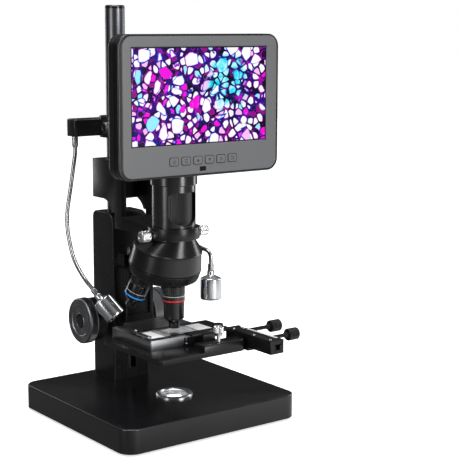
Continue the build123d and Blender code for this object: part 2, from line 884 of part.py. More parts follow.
with BuildPart() as x_knob:
    with BuildSketch(Plane.YZ.offset(bar_left + 2.5)):
        with Locations((x_knob_y, x_knob_z)):
            Circle(knob_shaft_radius)
    extrude(amount=x_knob_end - knob_length - bar_left - 2.5)
    with BuildSketch(Plane.YZ.offset(x_knob_end - knob_length)):
        with Locations((x_knob_y, x_knob_z)):
            Circle(knob_radius)
            with PolarLocations(knob_radius, knurl_count):
                RegularPolygon(knurl_depth, 4, mode=Mode.SUBTRACT)
    extrude(amount=knob_length)
x_knob.part.label = "x_knob"
export_step(x_knob.part, "parts/x_knob.step")

specimen_right = specimen_length / 2
specimen_back = specimen_y + specimen_width / 2
specimen_front = specimen_y - specimen_width / 2
holder_z = table_top + holder_lift
holder_front_y = x_knob_y - tongue_depth / 2
with BuildPart() as slide_holder:
    with BuildSketch(Plane.XY.offset(holder_z)):
        # Front arm, right side and back arm: a C that opens to the left.
        with Locations((holder_left, holder_front_y)):
            Rectangle(
                tongue_left_x + 4.0 - holder_left,
                specimen_front - holder_clear - holder_front_y,
                align=(Align.MIN, Align.MIN),
            )
        with Locations((specimen_right + holder_clear, holder_front_y)):
            Rectangle(
                holder_side_width + 4.0,
                specimen_back + holder_clear + holder_back_depth - holder_front_y,
                align=(Align.MIN, Align.MIN),
            )
        with Locations((-specimen_right - 2.0, specimen_back + holder_clear)):
            Rectangle(
                specimen_length + 6.0,
                holder_back_depth,
                align=(Align.MIN, Align.MIN),
            )
    extrude(amount=holder_thickness)
    # Tongue that runs in the bar's slot, one step lower than the plate.
    with BuildSketch(Plane.XY.offset(tongue_low)):
        with Locations((tongue_left_x, x_knob_y)):
            Rectangle(tongue_length, tongue_depth, align=(Align.MIN, Align.CENTER))
    extrude(amount=tongue_height)
    with BuildSketch(Plane.XY.offset(tongue_low)):
        with Locations((tongue_left_x, x_knob_y)):
            Rectangle(4.0, tongue_depth, align=(Align.MIN, Align.CENTER))
    extrude(amount=holder_z + holder_thickness - tongue_low)
    # Right jaw standing beside the specimen.
    with BuildSketch(Plane.XY.offset(holder_z)):
        with Locations((specimen_right + holder_clear, specimen_y)):
            Rectangle(5.0, specimen_width - 6.0, align=(Align.MIN, Align.CENTER))
    extrude(amount=holder_thickness + 1.0)
    # Low round head of the clamping screw at the plate's corner.
    with BuildSketch(Plane.XY.offset(holder_z)):
        with Locations((specimen_right + 5.0, specimen_front - 1.0)):
            Circle(clip_knob_radius)
    extrude(amount=holder_thickness + clip_knob_height)
    with Locations((-specimen_right + 2.0, specimen_back + holder_back_depth / 2, holder_z + holder_thickness)):
        Hole(finger_pivot_radius + shaft_fit, depth=holder_thickness)
slide_holder.part.label = "slide_holder"
export_step(slide_holder.part, "parts/slide_holder.step")

finger_x = -specimen_right + 2.0
finger_y = specimen_back + holder_back_depth / 2
finger_z = holder_z + holder_thickness + 0.1
finger_reach = 30.0
with BuildPart() as clip_finger:
    with BuildSketch(Plane.XY.offset(finger_z)):
        with BuildLine():
            Polyline(
                (finger_x + finger_width / 2, finger_y + 2.0),
                (finger_x + finger_width / 2, finger_y - 6.0),
                (finger_x - 1.0, finger_y - 10.0),
                (finger_x - 1.0, finger_y - finger_reach),
                (finger_x - 1.0 - finger_width, finger_y - finger_reach),
                (finger_x - 1.0 - finger_width, finger_y - 8.0),
                (finger_x - finger_width / 2, finger_y - 4.0),
                (finger_x - finger_width / 2, finger_y + 2.0),
                close=True,
            )
        make_face()
    extrude(amount=finger_thickness)
    fillet(clip_finger.edges().filter_by(Axis.Z), 0.8)
    with BuildSketch(Plane.XY.offset(holder_z + 0.1)):
        with Locations((finger_x, finger_y)):
            Circle(finger_pivot_radius)
    extrude(amount=finger_z + finger_thickness + 0.8 - holder_z - 0.1)
    # Pad at the tip that reaches down to the specimen's end.
    with BuildSketch(Plane.XY.offset(holder_z + 0.1)):
        with Locations((-specimen_right - holder_clear, specimen_y - 3.0)):
            Rectangle(2.2, 5.0, align=(Align.MAX, Align.CENTER))
    extrude(amount=finger_z + finger_thickness - holder_z - 0.1)
clip_finger.part.label = "clip_finger"
export_step(clip_finger.part, "parts/clip_finger.step")

with BuildPart() as specimen_slide:
    with BuildSketch(Plane.XY.offset(table_top + specimen_lift)):
        with Locations((0, specimen_y)):
            Rectangle(specimen_length, specimen_width)
    extrude(amount=specimen_thickness)
specimen_slide.part.label = "specimen_slide"
export_step(specimen_slide.part, "parts/specimen_slide.step")

# =============================================================================
# Camera arm, its clamp knob and the two ring screws
# =============================================================================
with BuildPart() as camera_arm:
    # Side profile: block round the pole, hollow underside, leg and ring beam.
    with BuildSketch(Plane.YZ.offset(-arm_width / 2)):
        with BuildLine():
            cut_start = arm_leg_back + arm_cut_radius
            Polyline(
                (arm_back, arm_top),
                (arm_front + 4.0, arm_top),
                (arm_front, arm_top - 22.0),
                (arm_front, arm_beam_top),
                (optical_y + ring_outer - 3.0, arm_beam_top - 6.0),
                (optical_y + ring_outer - 3.0, arm_low + 2.5),
                (arm_leg_back - 4.0, arm_low + 2.5),
                (arm_leg_back - 4.0, column_top + 2.0),
                (arm_leg_back, column_top + 2.0),
            )
            leg_end = (arm_leg_back, column_top + 2.0)
            cut_end = (cut_start - 6.0, arm_block_bottom)
            RadiusArc(leg_end, cut_end, arm_cut_radius)
            Polyline(cut_end, (arm_back, arm_block_bottom), (arm_back, arm_top))
        make_face()
    extrude(amount=arm_width)
    # Open bay between the two side plates, in front of the pole block.
    bay_back = pole_y - pole_radius - 4.0
    with BuildSketch(Plane.XY.offset(arm_beam_top - 6.0)):
        with Locations((0, arm_front - 1.0)):
            Rectangle(
                arm_width - 2 * arm_plate,
                bay_back - arm_front + 1.0,
                align=(Align.CENTER, Align.MIN),
            )
    extrude(amount=arm_top - arm_beam_top + 6.0 - arm_plate, mode=Mode.SUBTRACT)
    # Beam narrows towards the ring.
    with BuildSketch(Plane.XY.offset(arm_low)):
        for side in (-1, 1):
            with BuildLine():
                Polyline(
                    (side * (arm_width / 2 + 1.0), arm_front - 2.0),
                    (side * arm_width / 2, arm_front - 2.0),
                    (side * arm_beam_width / 2, arm_front - 14.0),
                    (side * arm_beam_width / 2, optical_y),
                    (side * (arm_width / 2 + 1.0), optical_y),
                    close=True,
                )
            make_face()
    extrude(amount=arm_beam_top - arm_low, mode=Mode.SUBTRACT)
    # The clamp ring round the camera tube.
    with BuildSketch(Plane.XY.offset(ring_bottom)):
        with Locations((0, optical_y)):
            Circle(ring_outer)
    extrude(amount=ring_top - ring_bottom)
    for side in (-1, 1):
        with BuildSketch(Plane.YZ.offset(side * (ring_outer - 3.0))):
            with Locations((optical_y, ring_screw_z)):
                Circle(ring_boss_radius)
        extrude(amount=side * ring_boss_length)
    with Locations((0, optical_y, ring_top + 10.0)):
        Hole(tube_radius + ring_fit, depth=ring_top - ring_bottom + 20.0)
    with Locations((0, pole_y, arm_top)):
        Hole(pole_radius + pole_fit, depth=arm_top - arm_block_bottom + 1.0)
    with BuildSketch(Plane.XZ.offset(-arm_back)):
        with Locations((0, clamp_z)):
            Circle(clamp_shank_radius + shaft_fit)
    extrude(amount=arm_back - pole_y - pole_radius + 1.0, mode=Mode.SUBTRACT)
    with BuildSketch(Plane.YZ.offset(-ring_outer - 3.0)):
        with Locations((optical_y, ring_screw_z)):
            Circle(ring_shank_radius + shaft_fit)
    extrude(amount=2 * ring_outer + 6.0, mode=Mode.SUBTRACT)
camera_arm.part.label = "camera_arm"
export_step(camera_arm.part, "parts/camera_arm.step")

# The clamp knob: a domed black head on a short screw that bears on the pole.
with BuildPart() as clamp_knob:
    with BuildSketch(Plane.XZ.offset(-(pole_y + pole_radius + 0.3))):
        with Locations((0, clamp_z)):
            Circle(clamp_shank_radius)
    extrude(amount=-(arm_back + slide_gap - pole_y - pole_radius + 1.0))
    with BuildSketch(Plane.XZ.offset(-(arm_back + slide_gap))):
        with Locations((0, clamp_z)):
            Circle(clamp_knob_radius)
    extrude(amount=-clamp_knob_length)
    chamfer(clamp_knob.faces().sort_by(Axis.Y)[-1].edges(), 1.6)
    with BuildSketch(Plane.XZ.offset(-(arm_back + slide_gap + 1.0))):
        with Locations((0, clamp_z)):
            with PolarLocations(clamp_knob_radius + 0.2, 18):
                RegularPolygon(1.0, 4)
    extrude(amount=-(clamp_knob_length - 4.0), mode=Mode.SUBTRACT)
clamp_knob.part.label = "clamp_knob"
export_step(clamp_knob.part, "parts/clamp_knob.step")

for side, side_name in ((-1, "left"), (1, "right")):
    with BuildPart() as ring_screw:
        with BuildSketch(Plane.YZ.offset(side * (tube_radius + 0.3))):
            with Locations((optical_y, ring_screw_z)):
                Circle(ring_shank_radius)
        extrude(amount=side * (ring_screw_reach - tube_radius + 1.0))
        with BuildSketch(Plane.YZ.offset(side * ring_screw_reach)):
            with Locations((optical_y, ring_screw_z)):
                Circle(ring_screw_radius)
                with PolarLocations(ring_screw_radius, 22):
                    RegularPolygon(knurl_depth, 4, mode=Mode.SUBTRACT)
        extrude(amount=side * ring_screw_length)
    ring_screw.part.label = f"ring_screw_{side_name}"
    export_step(ring_screw.part, f"parts/ring_screw_{side_name}.step")

# =============================================================================
# Camera head: tube with its window, lens barrel, board, focus ring
# =============================================================================
tube_axis = Axis((0, optical_y, 0), (0, 0, 1))
tube_bore = tube_radius - tube_wall
with BuildPart() as camera_tube:
    with BuildSketch(Plane.XZ.offset(-optical_y)):
        with BuildLine():
            Polyline(
                (tube_bore, tube_bottom),
                (tube_radius, tube_bottom),
                (tube_radius, tube_shoulder),
                (housing_radius, tube_shoulder + 0.8),
                (housing_radius, housing_top - 1.5),
                (housing_radius - 1.5, housing_top),
                (0, housing_top),
                (0, housing_top - tube_wall),
                (housing_radius - tube_wall, housing_top - tube_wall),
                (housing_radius - tube_wall, tube_shoulder + 5.0),
                (tube_bore, tube_shoulder + 5.0),
                close=True,
            )
        make_face()
    revolve(axis=tube_axis)
    # The window at the front: flat top, sides that close in an arc below.
    window_half = (tube_radius + 1.0) * sin(radians(window_half_angle))
    with BuildSketch(Plane.XZ.offset(-optical_y)):
        with BuildLine():
            arc_start = window_bottom + 10.0
            Polyline(
                (-window_half, arc_start),
                (-window_half, window_top - 4.0),
                (-window_half + 4.0, window_top),
                (window_half - 4.0, window_top),
                (window_half, window_top - 4.0),
                (window_half, arc_start),
            )
            ThreePointArc(
                (window_half, arc_start), (0, window_bottom), (-window_half, arc_start)
            )
        make_face()
    extrude(amount=housing_radius + 2.0, mode=Mode.SUBTRACT)
camera_tube.part.label = "camera_tube"
export_step(camera_tube.part, "parts/camera_tube.step")

barrel_radius = focus_ring_radius - focus_ring_wall
barrel_flange = window_bottom - flange_drop
ring_height = window_top + 2.0 - barrel_flange
with BuildPart() as tube_lens:
    with BuildSketch(Plane.XY.offset(tube_bottom + 2.0)):
        with Locations((0, optical_y)):
            Circle(tube_bore)
            Circle(tube_lens_radius - 5.0, mode=Mode.SUBTRACT)
    extrude(amount=barrel_flange - tube_bottom - 2.0)
    with BuildSketch(Plane.XY.offset(barrel_flange)):
        with Locations((0, optical_y)):
            Circle(barrel_radius - shaft_fit)
            Circle(tube_lens_radius - 5.0, mode=Mode.SUBTRACT)
    extrude(amount=ring_height + 2.0)
tube_lens.part.label = "tube_lens"
export_step(tube_lens.part, "parts/tube_lens.step")

with BuildPart() as focus_ring:
    with BuildSketch(Plane.XY.offset(barrel_flange + 0.1)):
        with Locations((0, optical_y)):
            Circle(focus_ring_radius - focus_rib_height)
            with PolarLocations(focus_ring_radius - focus_rib_height, focus_rib_count):
                Rectangle(2 * focus_rib_height, 1.1)
            Circle(barrel_radius, mode=Mode.SUBTRACT)
    extrude(amount=ring_height)
focus_ring.part.label = "focus_ring"
export_step(focus_ring.part, "parts/focus_ring.step")

with BuildPart() as camera_board:
    with BuildSketch(Plane.XY.offset(tube_shoulder + 5.0)):
        with Locations((0, optical_y)):
            Circle(housing_radius - tube_wall - 0.3)
    extrude(amount=lamp_board_thickness)
    with BuildSketch(Plane.XY.offset(tube_shoulder + 5.0)):
        with Locations((0, optical_y)):
            Rectangle(sensor_size, sensor_size)
    extrude(amount=-1.2)
camera_board.part.label = "camera_board"
export_step(camera_board.part, "parts/camera_board.step")

# The yoke on the housing that carries the screen's hinge.
with BuildPart() as screen_bracket:
    knuckle_half = tilt_yoke_width / 2 - tilt_ear_width - slide_gap
    with BuildSketch(Plane.YZ.offset(-knuckle_half)):
        with BuildLine():
            Polyline(
                (optical_y + 14.0, housing_top),
                (optical_y - 17.0, housing_top),
                (tilt_axis_y - tilt_barrel_radius * 0.6, tilt_axis_z - tilt_barrel_radius * 0.8),
                (tilt_axis_y + 1.0, tilt_axis_z + tilt_barrel_radius * 0.97),
                (optical_y - 14.0, housing_top + 7.0),
                (optical_y + 14.0, housing_top + 4.0),
                close=True,
            )
        make_face()
        with Locations((tilt_axis_y, tilt_axis_z)):
            Circle(tilt_barrel_radius)
            Circle(tilt_pin_radius + shaft_fit, mode=Mode.SUBTRACT)
    extrude(amount=2 * knuckle_half)
screen_bracket.part.label = "screen_bracket"
export_step(screen_bracket.part, "parts/screen_bracket.step")

with BuildPart() as tilt_pin:
    with BuildSketch(Plane.YZ.offset(-tilt_yoke_width / 2)):
        with Locations((tilt_axis_y, tilt_axis_z)):
            Circle(tilt_pin_radius)
    extrude(amount=tilt_yoke_width)
tilt_pin.part.label = "tilt_pin"
export_step(tilt_pin.part, "parts/tilt_pin.step")

# =============================================================================
# Nosepiece: tilted cover, turret and three objectives
# =============================================================================
tilt = radians(turret_tilt)
pivot = Vector(0, optical_y, turret_pivot_z)
turret_way = Vector(0, sin(tilt), -cos(tilt))
turret_plane = Plane(origin=pivot, x_dir=(1, 0, 0), z_dir=turret_way)

with BuildPart() as nosepiece_cover:
    with BuildSketch(Plane.XY.offset(tube_bottom)):
        with Locations((0, optical_y)):
            Circle(cover_top_radius)
    with BuildSketch(turret_plane.offset(cover_start)):
        Circle(cover_start_radius)
    loft()
    with BuildSketch(turret_plane.offset(cover_start)):
        Circle(cover_start_radius)
    with BuildSketch(turret_plane.offset(cover_start + cover_collar)):
        Circle(cover_start_radius + 0.9)
    loft()
    with BuildSketch(turret_plane.offset(cover_start + cover_collar)):
        Circle(cover_start_radius + 0.4)
    with BuildSketch(turret_plane.offset(cover_end)):
        Circle(cover_end_radius)
    loft()
    # Light path down to the turret, and the seat of the pivot pin.
    with Locations((0, optical_y, tube_bottom)):
        Hole(objective_radius - 2.0, depth=tube_bottom - turret_pivot_z + cover_end + 14.0)
    with BuildSketch(turret_plane.offset(cover_end - 8.0)):
        Circle(pivot_pin_radius + shaft_fit)
    extrude(amount=8.0, mode=Mode.SUBTRACT)
nosepiece_cover.part.label = "nosepiece_cover"
export_step(nosepiece_cover.part, "parts/nosepiece_cover.step")

objective_places = []
for place in range(objective_count):
    spin = Axis(pivot, turret_way)
    way = Vector(0, 0, -1).rotate(spin, place * 360.0 / objective_count)
    objective_places.append(Plane(origin=pivot, x_dir=(1, 0, 0), z_dir=way))

with BuildPart() as turret:
    # Turned body: pin, conical rim and the crown that the seats stand on.
    with BuildSketch(Plane(origin=pivot, x_dir=(1, 0, 0), z_dir=-turret_plane.y_dir)):
        with BuildLine():
            rim_start = cover_end + turret_gap
            crown_end = rim_end + turret_crown
            Polyline(
                (0, cover_end - 7.5),
                (pivot_pin_radius, cover_end - 7.5),
                (pivot_pin_radius, rim_start),
                (cover_end_radius, rim_start),
                (rim_end_radius, rim_end),
                (rim_end_radius - 1.4, rim_end),
                (rim_end_radius - 3.0, crown_end),
                (0, crown_end),
                close=True,
            )
        make_face()
    revolve(axis=Axis(pivot, turret_way))
    with BuildSketch(turret_plane.offset(rim_start)):
        with PolarLocations(cover_end_radius, rim_notches):
            RegularPolygon(rim_notch_radius, 4)
    extrude(amount=rim_end - rim_start - 1.0, mode=Mode.SUBTRACT)
    for place in objective_places:
        with BuildSketch(place.offset(seat_level - 7.0)):
            Circle(objective_radius + 1.6)
        extrude(amount=7.0 + 1.0)
    for place in objective_places:
        with BuildSketch(place.offset(seat_level - 12.0)):
            Circle(objective_radius - 3.0)
        extrude(amount=14.0, mode=Mode.SUBTRACT)
turret.part.label = "turret"
export_step(turret.part, "parts/turret.step")

seat = seat_level + 1.0
full_length = turret_pivot_z - seat - objective_tip_z
objective_names = ("high", "medium", "low")
objective_lengths = (full_length, full_length - 7.0, full_length - 10.0)
barrel_step = objective_radius - 1.6
nose_radius = objective_radius - 1.9 - objective_cone * tan(radians(38.0))
for place, name, length in zip(objective_places, objective_names, objective_lengths):
    band_end = seat + objective_grip + objective_band
    barrel_end = seat + length - objective_cone - objective_nose
    with BuildPart() as objective:
        with BuildSketch(Plane(origin=pivot, x_dir=place.x_dir, z_dir=-place.y_dir)):
            with BuildLine():
                Polyline(
                    (0, seat - objective_shank),
                    (objective_radius - 3.0, seat - objective_shank),
                    (objective_radius - 3.0, seat),
                    (objective_radius, seat),
                    (objective_radius, seat + objective_grip),
                    (objective_radius + 0.15, seat + objective_grip),
                    (objective_radius + 0.15, band_end),
                    (barrel_step, band_end),
                    (barrel_step, barrel_end),
                    (nose_radius, barrel_end + objective_cone),
                    (nose_radius, seat + length),
                    (front_lens_radius, seat + length),
                    (front_lens_radius, seat + length - 0.8),
                    (0, seat + length - 0.8),
                    close=True,
                )
            make_face()
        revolve(axis=Axis(pivot, place.z_dir))
        with BuildSketch(place.offset(seat + 1.0)):
            with PolarLocations(objective_radius, objective_knurl):
                RegularPolygon(knurl_depth, 4)
        extrude(amount=4.0, mode=Mode.SUBTRACT)
    objective.part.label = f"objective_{name}"
    export_step(objective.part, f"parts/objective_{name}.step")

# =============================================================================
# Screen: bezel, hollow shell, panel, board, battery and six buttons
# =============================================================================
screen_mid_z = screen_bottom + screen_height / 2
bezel_back = screen_front + bezel_depth
shell_back = bezel_back + shell_depth
plate_inner = screen_front + face_thickness
window_width = screen_width - 2 * window_side
window_height = screen_height - window_above - window_below
window_centre_z = screen_bottom + window_below + window_height / 2
button_z = screen_bottom + button_rise
button_xs = [button_first_x + place * button_pitch for place in range(button_count)]
button_spots = [(x, button_z) for x in button_xs]

with BuildPart() as screen_bezel:
    with BuildSketch(Plane.XZ.offset(-bezel_back)):
        with Locations((0, screen_mid_z)):
            RectangleRounded(screen_width, screen_height, screen_corner)
    extrude(amount=bezel_depth)
    fillet(screen_bezel.faces().sort_by(Axis.Y)[0].edges(), 1.4)
    with BuildSketch(Plane.XZ.offset(-bezel_back)):
        with Locations((0, screen_mid_z)):
            RectangleRounded(
                screen_width - 2 * screen_wall,
                screen_height - 2 * screen_wall,
                screen_corner - screen_wall,
            )
    extrude(amount=bezel_depth - face_thickness, mode=Mode.SUBTRACT)
    with BuildSketch(Plane.XZ.offset(-screen_front)):
        with Locations((0, window_centre_z)):
            Rectangle(window_width + 2 * face_inset, window_height + 2 * face_inset)
    extrude(
        amount=-face_thickness,
        taper=degrees(atan2(face_inset, face_thickness)),
        mode=Mode.SUBTRACT,
    )
    with BuildSketch(Plane.XZ.offset(-plate_inner)):
        with Locations(*button_spots):
            RectangleRounded(button_width + 2 * button_gap, button_height + 2 * button_gap, 1.8)
    extrude(amount=bezel_depth, mode=Mode.SUBTRACT)
    with BuildSketch(Plane.XZ.offset(-screen_front)):
        with Locations((eye_x, screen_bottom + eye_rise)):
            RectangleRounded(eye_width, eye_height, 1.2)
    extrude(amount=-eye_depth, mode=Mode.SUBTRACT)
screen_bezel.part.label = "screen_bezel"
export_step(screen_bezel.part, "parts/screen_bezel.step")

with BuildPart() as screen_shell:
    with BuildSketch(Plane.XZ.offset(-bezel_back)):
        with Locations((0, screen_mid_z)):
            RectangleRounded(
                screen_width - 2 * seam_inset,
                screen_height - 2 * seam_inset,
                screen_corner - seam_inset,
            )
    extrude(amount=-screen_seam)
    with BuildSketch(Plane.XZ.offset(-bezel_back - screen_seam)):
        with Locations((0, screen_mid_z)):
            RectangleRounded(screen_width, screen_height, screen_corner)
    extrude(amount=-(shell_depth - screen_seam))
    fillet(screen_shell.faces().sort_by(Axis.Y)[-1].edges(), 4.0)
    with BuildSketch(Plane.XZ.offset(-bezel_back)):
        with Locations((0, screen_mid_z)):
            RectangleRounded(
                screen_width - 4 * screen_wall,
                screen_height - 4 * screen_wall,
                screen_corner - 2 * screen_wall,
            )
    extrude(amount=-(shell_depth - screen_wall), mode=Mode.SUBTRACT)
    # Ears either side of the bracket, drilled for the tilt pin.
    for side in (-1, 1):
        ear_inner = side * (tilt_yoke_width / 2 - tilt_ear_width)
        with BuildSketch(Plane.YZ.offset(ear_inner)):
            with BuildLine():
                Polyline(
                    (shell_back - 0.5, tilt_axis_z - tilt_barrel_radius - 3.0),
                    (tilt_axis_y, tilt_axis_z - tilt_barrel_radius),
                    (tilt_axis_y, tilt_axis_z + tilt_barrel_radius),
                    (shell_back - 0.5, tilt_axis_z + tilt_barrel_radius + 3.0),
                    close=True,
                )
            make_face()
            with Locations((tilt_axis_y, tilt_axis_z)):
                Circle(tilt_barrel_radius)
        extrude(amount=side * tilt_ear_width)
    with BuildSketch(Plane.YZ.offset(-tilt_yoke_width)):
        with Locations((tilt_axis_y, tilt_axis_z)):
            Circle(tilt_pin_radius)
    extrude(amount=2 * tilt_yoke_width, mode=Mode.SUBTRACT)
    # Sockets for memory card, video and power in the right-hand wall.
    for port_rise, port_height, port_depth in side_ports:
        with BuildSketch(Plane.YZ.offset(screen_width / 2 + 1.0)):
            with Locations((bezel_back + shell_depth / 2, screen_bottom + port_rise)):
                RectangleRounded(port_depth, port_height, 1.0)
        extrude(amount=-2 * screen_wall - 2.0, mode=Mode.SUBTRACT)
    # Recesses of the four case screws.
    with BuildSketch(Plane.XZ.offset(-shell_back)):
        with Locations((0, screen_mid_z)):
            with GridLocations(screen_width - 30.0, screen_height - 30.0, 2, 2):
                Circle(case_screw_radius)
    extrude(amount=case_screw_depth, mode=Mode.SUBTRACT)
screen_shell.part.label = "screen_shell"
export_step(screen_shell.part, "parts/screen_shell.step")

with BuildPart() as screen_panel:
    with BuildSketch(Plane.XZ.offset(-plate_inner)):
        with Locations((0, window_centre_z)):
            Rectangle(window_width + 2 * face_inset, window_height + 2 * face_inset)
    extrude(amount=-panel_thickness)
screen_panel.part.label = "screen_panel"
export_step(screen_panel.part, "parts/screen_panel.step")

board_front = shell_back - screen_wall - board_clear
board_bottom = screen_bottom + 2 * screen_wall + board_gap
board_top = board_bottom + board_height
switch_front = plate_inner + button_flange + button_stem + button_travel_room + 0.3
with BuildPart() as screen_board:
    with BuildSketch(Plane.XZ.offset(-board_front)):
        with Locations((0, (board_bottom + board_top) / 2)):
            Rectangle(board_width, board_height)
    extrude(amount=-lamp_board_thickness)
    with BuildSketch(Plane.XZ.offset(-board_front)):
        with Locations(*button_spots):
            Rectangle(6.0, 6.0)
    extrude(amount=board_front - switch_front)
screen_board.part.label = "screen_board"
export_step(screen_board.part, "parts/screen_board.step")

with BuildPart() as battery:
    with BuildSketch(Plane.XZ.offset(-(shell_back - screen_wall))):
        with Locations((0, board_top + battery_gap + battery_height / 2)):
            RectangleRounded(battery_width, battery_height, 2.0)
    extrude(amount=battery_depth)
battery.part.label = "battery"
export_step(battery.part, "parts/battery.step")

button_names = ("power", "menu", "up", "down", "confirm", "back")
for x, name in zip(button_xs, button_names):
    with BuildPart() as button:
        with BuildSketch(Plane.XZ.offset(-plate_inner)):
            with Locations((x, button_z)):
                RectangleRounded(button_width, button_height, 1.5)
        extrude(amount=face_thickness + button_proud)
        chamfer(button.faces().sort_by(Axis.Y)[0].edges(), 0.4)
        with BuildSketch(Plane.XZ.offset(-(plate_inner + 0.05))):
            with Locations((x, button_z)):
                Rectangle(button_width + 2.4, button_height + 2.4)
        extrude(amount=-button_flange)
        with BuildSketch(Plane.XZ.offset(-plate_inner)):
            with Locations((x, button_z)):
                Rectangle(3.0, 3.0)
        extrude(amount=-(button_flange + button_stem))
    button.part.label = f"button_{name}"
    export_step(button.part, f"parts/button_{name}.step")

# =============================================================================
# Lamp bar on the pole, goosenecks and lamps
# =============================================================================
bar_back = lamp_bar_front + lamp_bar_depth
bar_mid_z = lamp_bar_bottom + lamp_bar_height / 2
with BuildPart() as lamp_bar:
    with BuildSketch(Plane.XY.offset(lamp_bar_bottom)):
        with Locations((0, lamp_bar_front + lamp_bar_depth / 2)):
            RectangleRounded(lamp_bar_length, lamp_bar_depth, 3.0)
    extrude(amount=lamp_bar_height)
    chamfer(lamp_bar.faces().sort_by(Axis.Z)[-1].edges(), 1.0)
    with BuildSketch(Plane.XY.offset(lamp_bar_bottom - 2.0)):
        with Locations((0, pole_y)):
            Circle(lamp_boss_radius)
    extrude(amount=lamp_bar_height + 4.0)
    with Locations((0, pole_y, lamp_bar_bottom + lamp_bar_height + 4.0)):
        Hole(pole_radius + pole_fit, depth=lamp_bar_height + 8.0)
    # Clamp slot and the bore of its screw, in front of the pole.
    with BuildSketch(Plane.XY.offset(lamp_bar_bottom - 3.0)):
        with Locations((0, pole_y - lamp_boss_radius - 1.0)):
            Rectangle(lamp_slot, lamp_boss_radius - 2.0, align=(Align.CENTER, Align.MIN))
    extrude(amount=lamp_bar_height + 6.0, mode=Mode.SUBTRACT)
    with BuildSketch(Plane.YZ.offset(-lamp_boss_radius - 1.0)):
        with Locations((pole_y - bar_screw_offset, bar_mid_z)):
            Circle(ring_shank_radius + shaft_fit)
    extrude(amount=2 * lamp_boss_radius + 2.0, mode=Mode.SUBTRACT)
    for side in (-1, 1):
        with Locations((side * neck_x, neck_y, lamp_bar_bottom + neck_seat)):
            Hole(neck_sleeve_radius + shaft_fit, depth=neck_seat + 1.0)
lamp_bar.part.label = "lamp_bar"
export_step(lamp_bar.part, "parts/lamp_bar.step")

with BuildPart() as lamp_bar_screw:
    screw_y = pole_y - bar_screw_offset
    with BuildSketch(Plane.YZ.offset(-bar_knob_start)):
        with Locations((screw_y, bar_mid_z)):
            Circle(bar_knob_radius)
            with PolarLocations(bar_knob_radius, 20):
                RegularPolygon(knurl_depth, 4, mode=Mode.SUBTRACT)
    extrude(amount=-bar_knob_length)
    with BuildSketch(Plane.YZ.offset(-bar_knob_start)):
        with Locations((screw_y, bar_mid_z)):
            Circle(ring_shank_radius)
    extrude(amount=bar_knob_start + lamp_boss_radius - 3.0)
lamp_bar_screw.part.label = "lamp_bar_screw"
export_step(lamp_bar_screw.part, "parts/lamp_bar_screw.step")

neck_jobs = (
    ("left", -neck_x, left_neck_points, left_lamp_back, left_lamp_way),
    ("right", neck_x, right_neck_points, right_lamp_back, right_lamp_way),
)
for side_name, ferrule_x, path_points, lamp_back, lamp_way in neck_jobs:
    way = Vector(lamp_way).normalized()
    back = Vector(lamp_back)
    sleeve_start = back - way * lamp_sleeve_length
    entry = sleeve_start - way * 14.0
    with BuildPart() as gooseneck:
        with BuildLine() as neck_line:
            top = (ferrule_x, neck_y, lamp_bar_bottom - neck_sleeve_length + 1.0)
            FilletPolyline(top, *path_points, tuple(entry), tuple(sleeve_start), radius=neck_bend)
        with BuildSketch(Plane(origin=top, z_dir=neck_line.line % 0)):
            Circle(neck_radius)
        sweep()
        with BuildSketch(Plane.XY.offset(lamp_bar_bottom - neck_sleeve_length)):
            with Locations((ferrule_x, neck_y)):
                Circle(neck_sleeve_radius)
        extrude(amount=neck_sleeve_length + neck_seat - 0.3)
        with BuildSketch(Plane(origin=sleeve_start - way * 2.0, z_dir=way)):
            Circle(neck_sleeve_radius)
        extrude(amount=neck_ferrule)
    gooseneck.part.label = f"gooseneck_{side_name}"
    export_step(gooseneck.part, f"parts/gooseneck_{side_name}.step")

    lamp_start = Plane(origin=sleeve_start + way * (neck_ferrule - 2.0 + 0.3), z_dir=way)
    with BuildPart() as lamp:
        with BuildSketch(lamp_start):
            Circle(lamp_sleeve_radius)
        extrude(amount=lamp_sleeve_length - neck_ferrule + 2.0)
        with BuildSketch(Plane(origin=back, z_dir=way)):
            Circle(lamp_sleeve_radius)
        with BuildSketch(Plane(origin=back + way * lamp_shoulder, z_dir=way)):
            Circle(lamp_radius)
        loft()
        with BuildSketch(Plane(origin=back + way * lamp_shoulder, z_dir=way)):
            RegularPolygon(lamp_radius, lamp_facets)
        extrude(amount=lamp_length - lamp_shoulder)
        with BuildSketch(Plane(origin=back + way * lamp_length, z_dir=way)):
            Circle(lamp_radius - 2 * lamp_rim)
        extrude(amount=-lamp_recess, mode=Mode.SUBTRACT)
        with BuildSketch(Plane(origin=back + way * (lamp_length - lamp_recess), z_dir=way)):
            with PolarLocations(lamp_radius * 0.45, lamp_led_count):
                Circle(lamp_led_radius)
        extrude(amount=lamp_lens_thickness)
    lamp.part.label = f"lamp_{side_name}"
    export_step(lamp.part, f"parts/lamp_{side_name}.step")
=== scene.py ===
"""Looks of an upright digital microscope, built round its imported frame.

Lengths in the classes are millimetres in the frame's own axes: +Z up, -Y
towards the user, +X to the right. Meshes are written in metres.
"""

import logging
import math
from collections.abc import Callable, Sequence
from dataclasses import dataclass
from enum import Enum

import bmesh
import bpy
import numpy as np
from mathutils import Matrix, Vector


